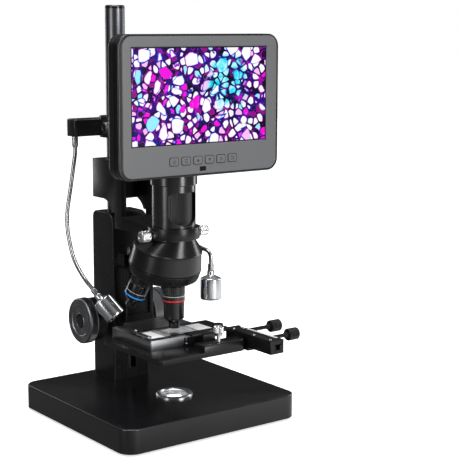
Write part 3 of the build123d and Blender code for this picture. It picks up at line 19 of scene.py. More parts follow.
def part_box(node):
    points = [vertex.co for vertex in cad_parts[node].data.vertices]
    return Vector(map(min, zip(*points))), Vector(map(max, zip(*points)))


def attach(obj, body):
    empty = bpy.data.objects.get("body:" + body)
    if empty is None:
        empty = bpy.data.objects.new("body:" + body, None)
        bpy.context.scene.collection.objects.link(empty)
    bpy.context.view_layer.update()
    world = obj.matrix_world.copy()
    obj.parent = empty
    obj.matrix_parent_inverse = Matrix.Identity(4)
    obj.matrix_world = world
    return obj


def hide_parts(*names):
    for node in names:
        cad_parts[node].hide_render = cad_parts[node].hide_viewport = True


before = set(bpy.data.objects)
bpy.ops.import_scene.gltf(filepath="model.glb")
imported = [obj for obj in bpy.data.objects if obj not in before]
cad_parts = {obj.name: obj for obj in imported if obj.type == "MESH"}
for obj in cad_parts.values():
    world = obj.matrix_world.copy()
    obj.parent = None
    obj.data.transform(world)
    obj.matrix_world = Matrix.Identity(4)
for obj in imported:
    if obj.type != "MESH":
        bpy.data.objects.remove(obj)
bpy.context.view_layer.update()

log = logging.getLogger("microscope")
MM = 0.001
X, Y, Z = (1, 0, 0), (0, 1, 0), (0, 0, 1)
WHITE, BLACK, DUST = (1.0, 1.0, 1.0), (0.0, 0.0, 0.0), (0.5, 0.49, 0.47)
OPTICAL_Y = -28.0  # the camera, the stage light and the objective in use, mm
WELD = 2e-6  # points nearer than this are one, m
TINY = 1e-6  # slack of a comparison, mm
SHARP = 32.0  # an edge of a new piece stays sharp above this angle, degrees
CAD_SHARP = 28.0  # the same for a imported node
FLAT, CORNER = 0.6, 35.0  # faces are one below the first, rounded above the second
SIGN_WIDTH = 0.62  # width of the lines in the buttons' signs, mm
FLOOR_REACH = 3000.0  # half the floor's side, mm

Socket = bpy.types.NodeSocket
Outputs = bpy.types.NodeOutputs
Piece = bpy.types.Object
Inputs = dict[str | int, object]
Colour = tuple[float, float, float]
Point = Sequence[float]
Profile = Sequence[tuple[float, float]]


# -------- Node wiring --------
class Wiring:
    """Adds and joins nodes in one tree."""

    def __init__(self, tree: bpy.types.NodeTree) -> None:
        """Keeps the tree that later calls work on."""
        self.tree = tree

    def add(self, kind: str, inputs: Inputs | None = None, **settings: object) -> bpy.types.Node:
        """Adds a node.

        Args:
            kind: Node type, such as "ShaderNodeTexNoise".
            inputs: Values or sockets for its inputs, by name or number.
            **settings: Properties of that node.

        Returns:
            The new node.
        """
        node = self.tree.nodes.new(kind)
        for key, value in settings.items():
            setattr(node, key, value)
        self.fill(node, inputs or {})
        return node

    def fill(self, node: bpy.types.Node, inputs: Inputs) -> None:
        """Joins a socket to each named input, or sets a plain value on it."""
        for key, value in inputs.items():
            if isinstance(value, Socket):
                self.tree.links.new(value, node.inputs[key])
            else:
                node.inputs[key].default_value = value

    def math(self, operation: str, first: object, second: object = 0.0) -> Socket:
        """One Math node; either side may be a number or a socket."""
        return self.add("ShaderNodeMath", {0: first, 1: second}, operation=operation).outputs[0]

    def times(self, first: object, second: object) -> Socket:
        """Product of two numbers or sockets."""
        return self.math("MULTIPLY", first, second)

    def plus(self, first: object, second: object) -> Socket:
        """Sum of two numbers or sockets."""
        return self.math("ADD", first, second)

    def vector(self, operation: str, *values: object) -> Socket:
        """One Vector Math node, with its number or its vector as the result."""
        node = self.add("ShaderNodeVectorMath", dict(enumerate(values)), operation=operation)
        number = operation in ("LENGTH", "DISTANCE", "DOT_PRODUCT")
        return node.outputs["Value" if number else "Vector"]

    def axes(self, where: Socket) -> Outputs:
        """The X, Y and Z of a vector."""
        return self.add("ShaderNodeSeparateXYZ", {0: where}).outputs

    def place(self) -> Socket:
        """The Object coordinates, which are metres in the frame's axes."""
        return self.add("ShaderNodeTexCoord").outputs["Object"]

    def mapped(self, centre: Point = (0, 0, 0), scale: Point = (1, 1, 1)) -> Socket:
        """Object coordinates moved to a centre (mm) and stretched."""
        where = self.place()
        for settings in ({"Location": [-c * MM for c in centre]}, {"Scale": scale}):
            where = self.add("ShaderNodeMapping", {"Vector": where, **settings}).outputs[0]
        return where

    def noise(self, where: Socket, scale: object, detail: float = 2.0) -> Socket:
        """Value of a Noise texture at the given place."""
        inputs = {"Vector": where, "Scale": scale, "Detail": detail}
        return self.add("ShaderNodeTexNoise", inputs).outputs["Fac"]

    def spread(self, value: Socket, low: float, high: float, out: Point = (0, 1)) -> Socket:
        """Maps a value from low..high to out[0]..out[1], clamped at both ends."""
        inputs = {"Value": value, "From Min": low, "From Max": high, "To Min": out[0], "To Max": out[1]}
        return self.add("ShaderNodeMapRange", inputs, clamp=True).outputs["Result"]

    def gloss(self, value: Socket, roughness: float, low: float, high: float) -> Socket:
        """Roughness that follows a noise, from a little low to a little high."""
        return self.spread(value, 0.3, 0.7, (roughness + low, roughness + high))

    def blend(self, factor: object, first: object, second: object) -> Socket:
        """Mixes two colours, each a socket or an (r, g, b) colour."""
        first, second = (c if isinstance(c, Socket) else (*c, 1.0) for c in (first, second))
        return self.add("ShaderNodeMix", {0: factor, 6: first, 7: second}, data_type="RGBA").outputs[2]

    def bump(self, height: Socket, depth: float) -> Socket:
        """Normal from a height, with its full depth in millimetres."""
        inputs = {"Height": height, "Distance": depth * MM, "Strength": 1.0}
        return self.add("ShaderNodeBump", inputs).outputs["Normal"]

    def shown(self) -> tuple[Socket, Outputs]:
        """Mask of the rays that come from the camera or through glass."""
        rays = self.add("ShaderNodeLightPath").outputs
        return self.math("MAXIMUM", rays["Is Camera Ray"], rays["Is Transmission Ray"]), rays


@dataclass(frozen=True)
class SharedGroup:
    """A node group of float sockets with one input, made once.

    Its wire function makes the inside from a Wiring and the input's socket,
    and returns one socket for each output.
    """

    name: str
    key: str
    value: float
    outputs: tuple[str, ...]
    wire: Callable[[Wiring, Socket], Sequence[Socket]]

    def tree(self) -> bpy.types.NodeTree:
        """The node group, made at its first use."""
        if self.name in bpy.data.node_groups:
            return bpy.data.node_groups[self.name]
        tree = bpy.data.node_groups.new(self.name, "ShaderNodeTree")
        ends = [(self.key, "INPUT"), *((key, "OUTPUT") for key in self.outputs)]
        for key, way in ends:
            socket = tree.interface.new_socket(key, in_out=way, socket_type="NodeSocketFloat")
            socket.default_value = self.value if way == "INPUT" else 0.0
        w = Wiring(tree)
        results = self.wire(w, w.add("NodeGroupInput").outputs[self.key])
        w.add("NodeGroupOutput", dict(zip(self.outputs, results)))
        return tree

    def place(self, w: Wiring, value: float) -> Outputs:
        """Adds the group to a tree with its input set, and gives its outputs."""
        return w.add("ShaderNodeGroup", {self.key: value}, node_tree=self.tree()).outputs


def grain_inside(w: Wiring, fineness: Socket) -> tuple[Socket, Socket]:
    """Fine grain and slow clouding of a coat, both 0 to 1."""
    return w.noise(w.place(), fineness, 3.0), w.noise(w.place(), 38.0, 4.0)


def edge_inside(w: Wiring, reach: Socket) -> tuple[Socket]:
    """Mask of the outer edges, broken up where hands have been; it lightens them as rubbed wear and, at
    full weight, as painted highlights.

    It is one minus the cosine between the rounded and the true normal.
    """
    soft = w.add("ShaderNodeBevel", {"Radius": reach}, samples=4).outputs[0]
    true = w.add("ShaderNodeNewGeometry").outputs["True Normal"]
    edge = w.spread(w.math("SUBTRACT", 1.0, w.vector("DOT_PRODUCT", soft, true)), 0.02, 0.25)
    return (w.times(edge, w.spread(w.noise(w.place(), 120.0, 4.0), 0.42, 0.62)),)


def dust_inside(w: Wiring, amount: Socket) -> tuple[Socket]:
    """Thin speckled dust, 0 to 1, that lies on faces which point up."""
    up = w.spread(w.axes(w.add("ShaderNodeNewGeometry").outputs["Normal"])["Z"], 0.55, 0.95)
    speck = w.spread(w.noise(w.place(), 900.0, 6.0), 0.5, 0.75)
    return (w.times(w.times(up, speck), amount),)


GRAIN = SharedGroup("surface grain", "Fineness", 2500.0, ("Grain", "Cloud"), grain_inside)
EDGES = SharedGroup("rubbed edges and painted glints", "Reach", 0.0006, ("Edge",), edge_inside)
SETTLED = SharedGroup("settled dust", "Amount", 0.1, ("Dust",), dust_inside)


# -------- Finishes --------
class Brush(Enum):
    """Which way the fine lines of a machined face run."""

    ALONG_X = (1.0, 60.0, 60.0)
    ALONG_Z = (60.0, 60.0, 1.0)
    NONE = (1.0, 1.0, 1.0)


def shade(colour: Colour, factor: float, lift: float = 0.0) -> Colour:
    """A colour times a factor plus a lift, no higher than 1."""
    return tuple(min(1.0, c * factor + lift) for c in colour)


@dataclass(frozen=True)
class Finish:
    """A named material; each kind of finish wires its own shader."""

    name: str

    def material(self) -> bpy.types.Material:
        """Builds the material."""
        material = bpy.data.materials.new(self.name)
        material.use_nodes = True
        w = Wiring(material.node_tree)
        w.fill(w.tree.nodes["Principled BSDF"], self.wire(w))
        return material

    def wire(self, w: Wiring) -> Inputs:
        """Adds the nodes and returns the shader's inputs by name."""
        raise NotImplementedError


@dataclass(frozen=True)
class Coat(Finish):
    """A sprayed or anodised coat on metal, with grain, dust, and edges lightened as rubbed wear and, at
    full weight, as painted highlights on ribs.
    """

    colour: Colour
    roughness: float = 0.42
    fineness: float = 2600.0
    depth: float = 0.02
    wear_and_glint: float = 0.25
    dust: float = 0.05
    specular: float = 0.24

    def wire(self, w: Wiring) -> Inputs:
        """Clouded colour, then the lightened edges (rubbed wear and painted highlights), then the dust."""
        grain = GRAIN.place(w, self.fineness)
        # Lightened edges: rubbed wear, and painted highlights where the weight is full.
        rubbed_and_glinting = w.times(EDGES.place(w, 0.0005)["Edge"], self.wear_and_glint)
        tone = w.blend(grain["Cloud"], self.colour, shade(self.colour, 1.3, 0.001))
        tone = w.blend(rubbed_and_glinting, tone, shade(self.colour, 2.2, 0.05))
        return {
            "Base Color": w.blend(SETTLED.place(w, self.dust)["Dust"], tone, DUST),
            "Roughness": w.gloss(grain["Cloud"], self.roughness, 0.0, 0.04),
            "Specular IOR Level": self.specular,
            "Normal": w.bump(grain["Grain"], self.depth),
        }


@dataclass(frozen=True)
class Machined(Finish):
    """Bare metal with brushed lines along one axis."""

    colour: Colour
    roughness: float = 0.25
    brush: Brush = Brush.NONE
    pitch: float = 90.0
    depth: float = 0.01

    def wire(self, w: Wiring) -> Inputs:
        """Streaks that change the colour, the gloss and the normal."""
        streak = w.noise(w.mapped(scale=self.brush.value), self.pitch, 3.0)
        dulled = w.times(streak, w.noise(w.place(), 45.0, 4.0))
        ends = max(0.02, self.roughness - 0.03), self.roughness + 0.05
        return {
            "Base Color": w.blend(streak, shade(self.colour, 0.72), self.colour),
            "Roughness": w.spread(dulled, 0.1, 0.5, ends),
            "Metallic": 1.0,
            "Normal": w.bump(streak, self.depth),
        }


@dataclass(frozen=True)
class Spun(Finish):
    """A face turned on a lathe: fine rings round an axis along X."""

    colour: Colour
    centre: Point
    roughness: float = 0.3
    ring_scale: float = 900.0

    def wire(self, w: Wiring) -> Inputs:
        """Rings whose value follows the radius alone, lit along the rings."""
        radius = w.vector("LENGTH", w.mapped(self.centre, (0.0, 1.0, 1.0)))
        inputs = {"W": radius, "Scale": self.ring_scale, "Detail": 3.0}
        ring = w.add("ShaderNodeTexNoise", inputs, noise_dimensions="1D").outputs["Fac"]
        return {
            "Base Color": w.blend(ring, shade(self.colour, 0.6), self.colour),
            "Roughness": w.gloss(ring, self.roughness, 0.0, 0.14),
            "Metallic": 1.0,
            "Anisotropic": 0.85,
            "Tangent": w.vector("CROSS_PRODUCT", w.mapped(self.centre), X),
            "Normal": w.bump(ring, 0.02),
        }


@dataclass(frozen=True)
class Moulded(Finish):
    """Injection-moulded plastic or rubber with a fine spark texture."""

    colour: Colour
    roughness: float = 0.45
    fineness: float = 3800.0
    depth: float = 0.015
    specular: float = 0.45

    def wire(self, w: Wiring) -> Inputs:
        """Clouded colour with a little dust, and a grained gloss."""
        grain = GRAIN.place(w, self.fineness)
        tone = w.blend(grain["Cloud"], self.colour, shade(self.colour, 1.12, 0.003))
        return {
            "Base Color": w.blend(SETTLED.place(w, 0.06)["Dust"], tone, DUST),
            "Roughness": w.gloss(grain["Grain"], self.roughness, -0.04, 0.06),
            "Specular IOR Level": self.specular,
            "Normal": w.bump(grain["Grain"], self.depth),
        }


@dataclass(frozen=True)
class ClearGlass(Finish):
    """Clear or tinted glass with the faintest unevenness."""

    colour: Colour = (0.96, 0.98, 0.98)
    roughness: float = 0.03
    ior: float = 1.5

    def wire(self, w: Wiring) -> Inputs:
        """Glass with plain transmission."""
        cloud = w.noise(w.place(), 300.0)
        return {
            "Base Color": w.blend(cloud, self.colour, shade(self.colour, 0.97)),
            "Roughness": w.gloss(cloud, self.roughness, 0.0, 0.02),
            "Transmission Weight": 1.0,
            "IOR": self.ior,
        }


@dataclass(frozen=True)
class Glow(Finish):
    """A lit emitter with dark and bright phosphor patches; on the stage light's reflector the glow is
    painted light that stands for the light it reflects.
    """

    colour: Colour
    edge: Colour
    strength: float = 1.0
    patch: float = 500.0

    def wire(self, w: Wiring) -> Inputs:
        """The same patches as colour and as light."""
        cell = w.add("ShaderNodeTexVoronoi", {"Vector": w.place(), "Scale": self.patch})
        tone = w.blend(w.spread(cell.outputs["Distance"], 0.1, 0.6), self.colour, self.edge)
        lit = {"Emission Color": tone, "Emission Strength": self.strength}
        return {"Base Color": tone, "Roughness": 0.3, **lit}


@dataclass(frozen=True)
class CircuitBoard(Finish):
    """Solder mask with fine tracks and pads."""

    colour: Colour = (0.015, 0.11, 0.05)

    def wire(self, w: Wiring) -> Inputs:
        """Tracks where cells meet and a pad in the middle of each cell."""
        inputs = {"Vector": w.place(), "Scale": 420.0}
        distance = w.add("ShaderNodeTexVoronoi", inputs, distance="MANHATTAN").outputs["Distance"]
        pad = w.spread(distance, 0.1, 0.14, (1, 0))
        tone = w.blend(w.spread(distance, 0.42, 0.46), self.colour, (0.03, 0.2, 0.09))
        return {"Base Color": w.blend(pad, tone, (0.75, 0.7, 0.5)), "Metallic": pad, "Roughness": 0.35}


@dataclass
class Section:
    """Colours of a stained plant section, on one flat place of a panel."""

    w: Wiring
    flat: Socket
    pool_centre: Point = (0.031, 0.0, 0.012)
    pool_radius: Point = (0.034, 0.044)

    def patches(self, scale: float, detail: float, low: float, high: float, most: float = 1.0) -> Socket:
        """Mask of the places where a noise passes from low to high."""
        return self.w.spread(self.w.noise(self.flat, scale, detail), low, high, (0, most))

    def pool(self) -> Socket:
        """Mask of the part of the section that is stained blue-green."""
        near = self.w.vector("DISTANCE", self.flat, self.pool_centre)
        fringe = self.w.times(self.w.noise(self.flat, 60.0, 1.0), 0.03)
        return self.w.spread(self.w.plus(near, fringe), *self.pool_radius, (1, 0))

    def lumen(self, pick: Outputs) -> Socket:
        """Colour inside a cell: mostly white, some magenta, cyan or dark.

        Args:
            pick: Random numbers of the cell as colour channels.

        Returns:
            The cell's colour.
        """
        w = self.w
        ramp = w.add("ShaderNodeValToRGB", {0: pick[0]})
        ramp.color_ramp.interpolation = "CONSTANT"
        stops = (
            (0.0, WHITE), (0.92, (0.015, 0.0, 0.025)), (0.58, (1.0, 0.55, 0.92)),
            (0.66, (0.95, 0.0, 0.72)), (0.78, (0.3, 0.9, 1.0)), (0.83, (0.3, 0.0, 0.2)),
        )
        elements = ramp.color_ramp.elements
        for index, (position, colour) in enumerate(stops):
            stop = elements[index] if index < 2 else elements.new(position)
            stop.position, stop.color = position, (*colour, 1.0)
        stained = w.blend(self.patches(130.0, 3.0, 0.42, 0.6), (0.0, 0.78, 0.95), (0.5, 1.0, 1.0))
        stained = w.blend(w.math("GREATER_THAN", pick[1], 0.72), stained, WHITE)
        colour = w.blend(self.pool(), ramp.outputs[0], stained)
        return w.blend(self.patches(190.0, 3.0, 0.6, 0.74, 0.5), colour, (0.8, 0.25, 1.0))

    def cells(self, where: Socket, scale: float, wall: float, ground: Socket) -> Socket:
        """Rounded cells with thin bright edges over a ground.

        The share e / (e + c), from the distance e to the nearest border and
        the distance c to the cell's centre, gives outlines rounder than the
        borders themselves.

        Args:
            where: Bent place on the panel.
            scale: Cells per metre.
            wall: Share at which a cell's outline lies.
            ground: Colour between the cells.

        Returns:
            The colour of this layer.
        """
        w = self.w
        inputs = {"Vector": where, "Scale": scale, "Randomness": 1.0}
        near, border = (w.add("ShaderNodeTexVoronoi", inputs, feature=feature).outputs
                        for feature in ("F1", "DISTANCE_TO_EDGE"))
        edge = border["Distance"]
        share = w.math("DIVIDE", edge, w.plus(edge, near["Distance"]))
        rim = w.blend(self.patches(48.0, 1.0, 0.44, 0.56), (0.03, 0.05, 1.0), (0.75, 0.0, 0.9))
        rim = w.blend(self.pool(), rim, (0.0, 0.55, 1.0))
        tone = self.lumen(w.add("ShaderNodeSeparateColor", {0: near["Color"]}).outputs)
        for start, end, outer in ((0.05, 0.08, rim), (0.01, 0.03, (0.0, 0.0, 0.06)), (-0.01, 0.0, ground)):
            tone = w.blend(w.spread(share, wall + start, wall + end), outer, tone)
        return tone


@dataclass(frozen=True)
class CellPicture(Finish):
    """Lit panel that shows a stained plant section made of plain cell noise."""

    centre: Point
    size: tuple[float, float]

    def wire(self, w: Wiring) -> Inputs:
        """Two sizes of cells over a ground, inside a dark edge of 1 mm."""
        flat = w.mapped(self.centre, (1.0, 0.0, 1.0))
        section = Section(w, flat)
        wobble = w.add("ShaderNodeTexNoise", {"Vector": flat, "Scale": 90.0}).outputs["Color"]
        bent = w.add("ShaderNodeVectorMath", {0: wobble, "Scale": 0.004}, operation="SCALE").outputs[0]
        where = w.vector("ADD", flat, bent)
        ground = w.blend(section.patches(75.0, 2.0, 0.42, 0.6), (0.0, 0.0, 0.01), (0.03, 0.0, 0.2))
        ground = w.blend(section.patches(120.0, 3.0, 0.54, 0.7), ground, (0.5, 0.0, 0.6))
        small = section.cells(where, 140.0, 0.17, ground)
        large = section.cells(where, 62.0, 0.25, small)
        x, _, z = w.axes(flat)
        lean = w.math("SUBTRACT", w.times(x, 2.6), w.times(z, 3.4))
        crowd = w.spread(w.plus(lean, w.noise(flat, 26.0, 1.0)), 0.69, 0.71)
        rim = [w.math("GREATER_THAN", w.math("ABSOLUTE", reach), (side / 2 - 1.0) * MM)
               for reach, side in zip((x, z), self.size)]
        return {
            "Emission Color": w.blend(w.math("MAXIMUM", *rim), w.blend(crowd, large, small), BLACK),
            "Base Color": (*BLACK, 1.0),
            "Emission Strength": 1.0,
            "Specular IOR Level": 0.12,
            "Roughness": 0.35,
        }


@dataclass(frozen=True)
class FramedFace(Finish):
    """Grey face with rounded corners inside a glossy black border.

    The rounded outline is the set of points whose distance from a smaller
    rectangle equals the corner's radius.
    """

    centre: Point
    size: tuple[float, float]
    corner: float
    face: Colour
    border: Colour

    def wire(self, w: Wiring) -> Inputs:
        """Two colours with a groove between them."""
        inner = [(side / 2 - self.corner) * MM for side in self.size]
        spot = w.vector("ABSOLUTE", w.mapped(self.centre, (1.0, 0.0, 1.0)))
        past = w.vector("SUBTRACT", spot, (inner[0], 0.0, inner[1]))
        gap = w.math("SUBTRACT", w.vector("LENGTH", w.vector("MAXIMUM", past)), self.corner * MM)
        groove = w.spread(w.math("ABSOLUTE", gap), 0.0, 0.0005)
        grain = w.times(w.noise(w.mapped(), 2600.0), 0.03)
        return {
            "Base Color": w.blend(w.spread(gap, -0.0001, 0.0001), self.face, self.border),
            "Roughness": w.spread(gap, -0.0001, 0.0001, (0.46, 0.24)),
            "Specular IOR Level": 0.4,
            "Normal": w.bump(w.plus(groove, grain), 0.35),
        }


# -------- Surfaces --------
@dataclass(frozen=True)
class Seat:
    """Where a turned piece stands: its origin (mm) and the way it points."""

    origin: Point
    way: Point = Z

    def world(self, local: np.ndarray) -> np.ndarray:
        """Turns local points, with z along the way, into the frame's axes."""
        w = np.array(self.way, float)
        w /= np.linalg.norm(w)
        u = np.cross(Z if abs(w[2]) < 0.9 else X, w)
        u /= np.linalg.norm(u)
        return np.array(self.origin, float) + local @ np.stack((u, np.cross(w, u), w))


@dataclass(frozen=True)
class Knurl:
    """Ripple of a turned grip between two heights of its profile.

    Straight ribs lower the radius by the depth times cos(count x angle) x 2
    + 0.6, held between 0 and 1. With a pitch the grooves are crossed spirals:
    the depth times the square of the larger of cos(count x angle + turn) and
    cos(count x angle - turn), where the turn grows by one wave for each pitch
    of height. The ripple stops short of both heights by the margin.
    """

    low: float
    high: float
    step: float
    margin: float
    count: int
    depth: float
    pitch: float = 0.0

    def refined(self, profile: Profile) -> list:
        """Adds profile points between the two heights, one for each step."""
        out = [profile[0]]
        for (r0, h0), (r1, h1) in zip(profile[:-1], profile[1:]):
            inside = min(h0, h1) >= self.low - TINY and max(h0, h1) <= self.high + TINY
            if inside and abs(h1 - h0) > 2 * self.step:
                t = np.linspace(0.0, 1.0, int(abs(h1 - h0) / self.step) + 1)[1:-1]
                out.extend(zip(r0 + (r1 - r0) * t, h0 + (h1 - h0) * t))
            out.append((r1, h1))
        return out

    def __call__(self, height: np.ndarray, angle: np.ndarray) -> np.ndarray:
        """Extra radius for arrays of height and angle."""
        band = (height > self.low + self.margin) & (height < self.high - self.margin)
        if not self.pitch:
            return -self.depth * band * np.clip(np.cos(self.count * angle) * 2.0 + 0.6, 0.0, 1.0)
        turn = 2 * np.pi * height / self.pitch
        wave = np.maximum(np.cos(self.count * angle + turn), np.cos(self.count * angle - turn))
        return -self.depth * band * np.clip(wave, 0.0, 1.0) ** 2


def extent(name: str) -> tuple[np.ndarray, np.ndarray]:
    """Low and high corners of a node's box, in mm."""
    low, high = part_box(name)
    return np.array(low) / MM, np.array(high) / MM


def circle(count: int) -> np.ndarray:
    """Angles of evenly spread points round a circle."""
    return np.arange(count) * 2 * np.pi / count


def centre_seat(name: str) -> tuple[Seat, float]:
    """Seat at the left end of a node that lies along X, and its length."""
    low, high = extent(name)
    return Seat((low[0], (low[1] + high[1]) / 2, (low[2] + high[2]) / 2), X), high[0] - low[0]


def linked(name: str, data: bpy.types.ID) -> Piece:
    """Puts a mesh, camera or light into the scene as an object."""
    made = bpy.data.objects.new(name, data)
    bpy.context.scene.collection.objects.link(made)
    return made


def mesh_piece(name: str, points: np.ndarray, faces: Sequence, sharp: float = SHARP) -> Piece:
    """Makes an object from points in millimetres.

    Args:
        name: Name of the piece.
        points: Array of shape (n, 3).
        faces: Index lists or an array of shape (m, 4).
        sharp: Angle in degrees above which an edge stays sharp.

    Returns:
        The new object, closed and with its faces outwards.
    """
    mesh = bpy.data.meshes.new(name)
    mesh.from_pydata((points * MM).tolist(), [], [list(map(int, f)) for f in faces])
    work = bmesh.new()
    work.from_mesh(mesh)
    bmesh.ops.remove_doubles(work, verts=work.verts, dist=WELD)
    bmesh.ops.recalc_face_normals(work, faces=work.faces)
    work.to_mesh(mesh)
    work.free()
    mesh.polygons.foreach_set("use_smooth", np.ones(len(mesh.polygons), bool))
    mesh.set_sharp_from_angle(angle=math.radians(sharp))
    return linked(name, mesh)


def grid_faces(rows: int, columns: int, ring: bool = False, caps: bool = False) -> list[tuple]:
    """Faces of a grid of points that is closed round its columns.

    Quad (i, j) joins rows i and i + 1 with columns j and j + 1, taken modulo
    the number of columns, and of rows where the rows form a ring. Caps close
    the first and the last row.
    """
    i, j = np.meshgrid(np.arange(rows if ring else rows - 1), np.arange(columns), indexing="ij")
    i2, j2 = (i + 1) % rows, (j + 1) % columns
    quads = np.stack((i * columns + j, i * columns + j2, i2 * columns + j2, i2 * columns + j), -1)
    faces = [tuple(quad) for quad in quads.reshape(-1, 4)]
    if caps:
        faces += [tuple(range(columns)), tuple(range((rows - 1) * columns, rows * columns))]
    return faces


def rounded(profile: Profile, radius: float, steps: int = 3) -> np.ndarray:
    """Rounds each inner corner of a profile by a small arc.

    Each corner is replaced by points of a quadratic curve between the points
    at the radius before and after it; short sides limit the radius.
    """
    points = np.array(profile, float)
    out = [points[0]]
    for before, corner, after in zip(points[:-2], points[1:-1], points[2:]):
        a, b = before - corner, after - corner
        la, lb = np.linalg.norm(a), np.linalg.norm(b)
        reach = min(radius, 0.45 * la, 0.45 * lb)
        start, end = corner + a / la * reach, corner + b / lb * reach
        t = np.linspace(0.0, 1.0, steps + 1)[:, None]
        out.extend((1 - t) ** 2 * start + 2 * t * (1 - t) * corner + t**2 * end)
    out.append(points[-1])
    return np.array(out)


def turned(name: str, profile: Profile, seat: Seat, around: int, rounding: float = 0.0,
           ripple: Callable[[np.ndarray, np.ndarray], np.ndarray] | None = None,
           sharp: float = SHARP) -> Piece:
    """Turns a profile of (radius, height) about the seat's axis.

    The point at height h and angle t is (r cos t, r sin t, h), where r is the
    profile's radius plus the ripple of (height, angle).

    Args:
        name: Name of the piece.
        profile: Radius and height pairs, in mm, from one end to the other.
        seat: Place and axis.
        around: Number of steps round the axis.
        rounding: Radius of the profile's corners.
        ripple: Extra radius in mm, worked out for whole arrays.
        sharp: Angle above which an edge stays sharp.

    Returns:
        The new object.
    """
    if isinstance(ripple, Knurl):
        profile = ripple.refined(profile)
    line = rounded(profile, rounding) if rounding else np.array(profile, float)
    angle = circle(around)
    radius = np.repeat(line[:, :1], around, axis=1)
    height = np.repeat(line[:, 1:], around, axis=1)
    if ripple is not None:
        radius = np.where(radius > TINY, radius + ripple(height, angle[None, :]), radius)
    local = np.stack((radius * np.cos(angle), radius * np.sin(angle), height), -1)
    closed = bool(np.allclose(line[0], line[-1]))
    if closed:
        local = local[:-1]
    faces = grid_faces(len(local), around, closed)
    return mesh_piece(name, seat.world(local.reshape(-1, 3)), faces, sharp)


def run_lengths(line: np.ndarray) -> np.ndarray:
    """Length along a line up to each of its points."""
    return np.concatenate(([0.0], np.cumsum(np.linalg.norm(np.diff(line, axis=0), axis=1))))


def filleted_path(points: np.ndarray, radius: float, step: float) -> np.ndarray:
    """Straight runs joined by arcs, sampled evenly.

    At each corner the arc touches both runs at radius x tan(half the turn)
    from the corner, and its points are centre + radius x (cos, sin) in the
    plane of the two runs. Where a run is too short for the radius, the arc is
    made smaller.
    """
    line = [points[0]]
    for before, corner, after in zip(points[:-2], points[1:-1], points[2:]):
        runs = [np.linalg.norm(end - corner) for end in (before, after)]
        a, b = (before - corner) / runs[0], (after - corner) / runs[1]
        turn = math.pi - math.acos(float(np.clip(a @ b, -1, 1)))
        reach = min(radius * math.tan(turn / 2), 0.49 * min(runs))
        bend = reach / math.tan(turn / 2)
        centre = corner + (a + b) / np.linalg.norm(a + b) * bend / math.cos(turn / 2)
        start, end = corner + a * reach - centre, corner + b * reach - centre
        t = np.linspace(0.0, 1.0, max(3, int(bend * turn / step)))[:, None]
        line.extend(centre + (np.sin((1 - t) * turn) * start + np.sin(t * turn) * end) / math.sin(turn))
    line = np.array([*line, points[-1]])
    length = run_lengths(line)
    even = np.linspace(0.0, length[-1], int(length[-1] / step) + 1)
    return np.stack([np.interp(even, length, line[:, k]) for k in range(3)], -1)


def wound_tube(name: str, path: np.ndarray, radius: float, pitch: float, depth: float,
               around: int = 14) -> Piece:
    """Sweeps a circle along a path, with the ridges of a wound strip.

    The radius at length s and angle t is the tube's radius less the depth
    times the square of sin(pi s / pitch + t / 2), one ridge for each turn.
    The first direction across the path is carried from point to point by
    taking out its part along the next tangent, and the second is the cross
    product of tangent and first, so that the tube doesn't twist.
    """
    tangent = np.gradient(path, axis=0)
    tangent /= np.linalg.norm(tangent, axis=1)[:, None]
    side = np.empty_like(path)
    current = np.cross(tangent[0], (0.31, 0.52, 0.79))
    for index, along in enumerate(tangent):
        current = current - (current @ along) * along
        current /= np.linalg.norm(current)
        side[index] = current
    angle = circle(around)
    ridge = np.sin(np.pi * run_lengths(path)[:, None] / pitch + angle[None, :] / 2) ** 2
    radii, turn = (radius - depth * (1.0 - ridge))[..., None], angle[None, :, None]
    points = path[:, None] + radii * np.cos(turn) * side[:, None]
    points = points + radii * np.sin(turn) * np.cross(tangent, side)[:, None]
    return mesh_piece(name, points.reshape(-1, 3), grid_faces(len(path), around, caps=True), 60.0)


def plate(name: str, outline: Profile, origin: Point, across: Point,
          up: Point, thickness: float) -> Piece:
    """A flat piece: an outline in two directions, given a thickness.

    A point (a, b) of the outline lies at origin + a x across + b x up, and
    the back face lies behind it by the thickness along their cross product.
    """
    flat = np.array(outline, float)
    front = np.array(origin, float) + flat[:, :1] * np.array(across) + flat[:, 1:] * np.array(up)
    points = np.concatenate((front, front - np.cross(across, up) * thickness))
    count = len(flat)
    faces = [tuple(range(count)), tuple(range(2 * count - 1, count - 1, -1))]
    faces += [(i, (i + 1) % count, count + (i + 1) % count, count + i) for i in range(count)]
    return mesh_piece(name, points, faces)


def round_box(width: float, height: float, corner: float) -> Profile:
    """Outline of a rectangle with rounded corners, centred on the origin."""
    t = np.linspace(0.0, np.pi / 2, 7)
    x0, y0 = width / 2 - corner, height / 2 - corner
    out = []
    for quarter, (sx, sy) in enumerate(((1, 1), (-1, 1), (-1, -1), (1, -1))):
        turn = t + quarter * np.pi / 2
        out.extend(zip(sx * x0 + corner * np.cos(turn), sy * y0 + corner * np.sin(turn)))
    return out


def lofted(name: str, loops: Sequence[np.ndarray], sharp: float = SHARP, ring: bool = False) -> Piece:
    """Joins closed loops of equally many points by quads.

    Args:
        name: Name of the piece.
        loops: Arrays of shape (n, 3) in mm, in order.
        sharp: Angle above which an edge stays sharp.
        ring: Whether the last loop joins the first; if not, both are capped.

    Returns:
        The new object.
    """
    faces = grid_faces(len(loops), len(loops[0]), ring, not ring)
    return mesh_piece(name, np.concatenate(loops), faces, sharp)


def joined(name: str, pieces: Sequence[Piece]) -> Piece:
    """Joins several new pieces, with their places in their meshes, into one."""
    work = bmesh.new()
    for piece in pieces:
        work.from_mesh(piece.data)
        bpy.data.objects.remove(piece)
    mesh = bpy.data.meshes.new(name)
    work.to_mesh(mesh)
    work.free()
    return linked(name, mesh)


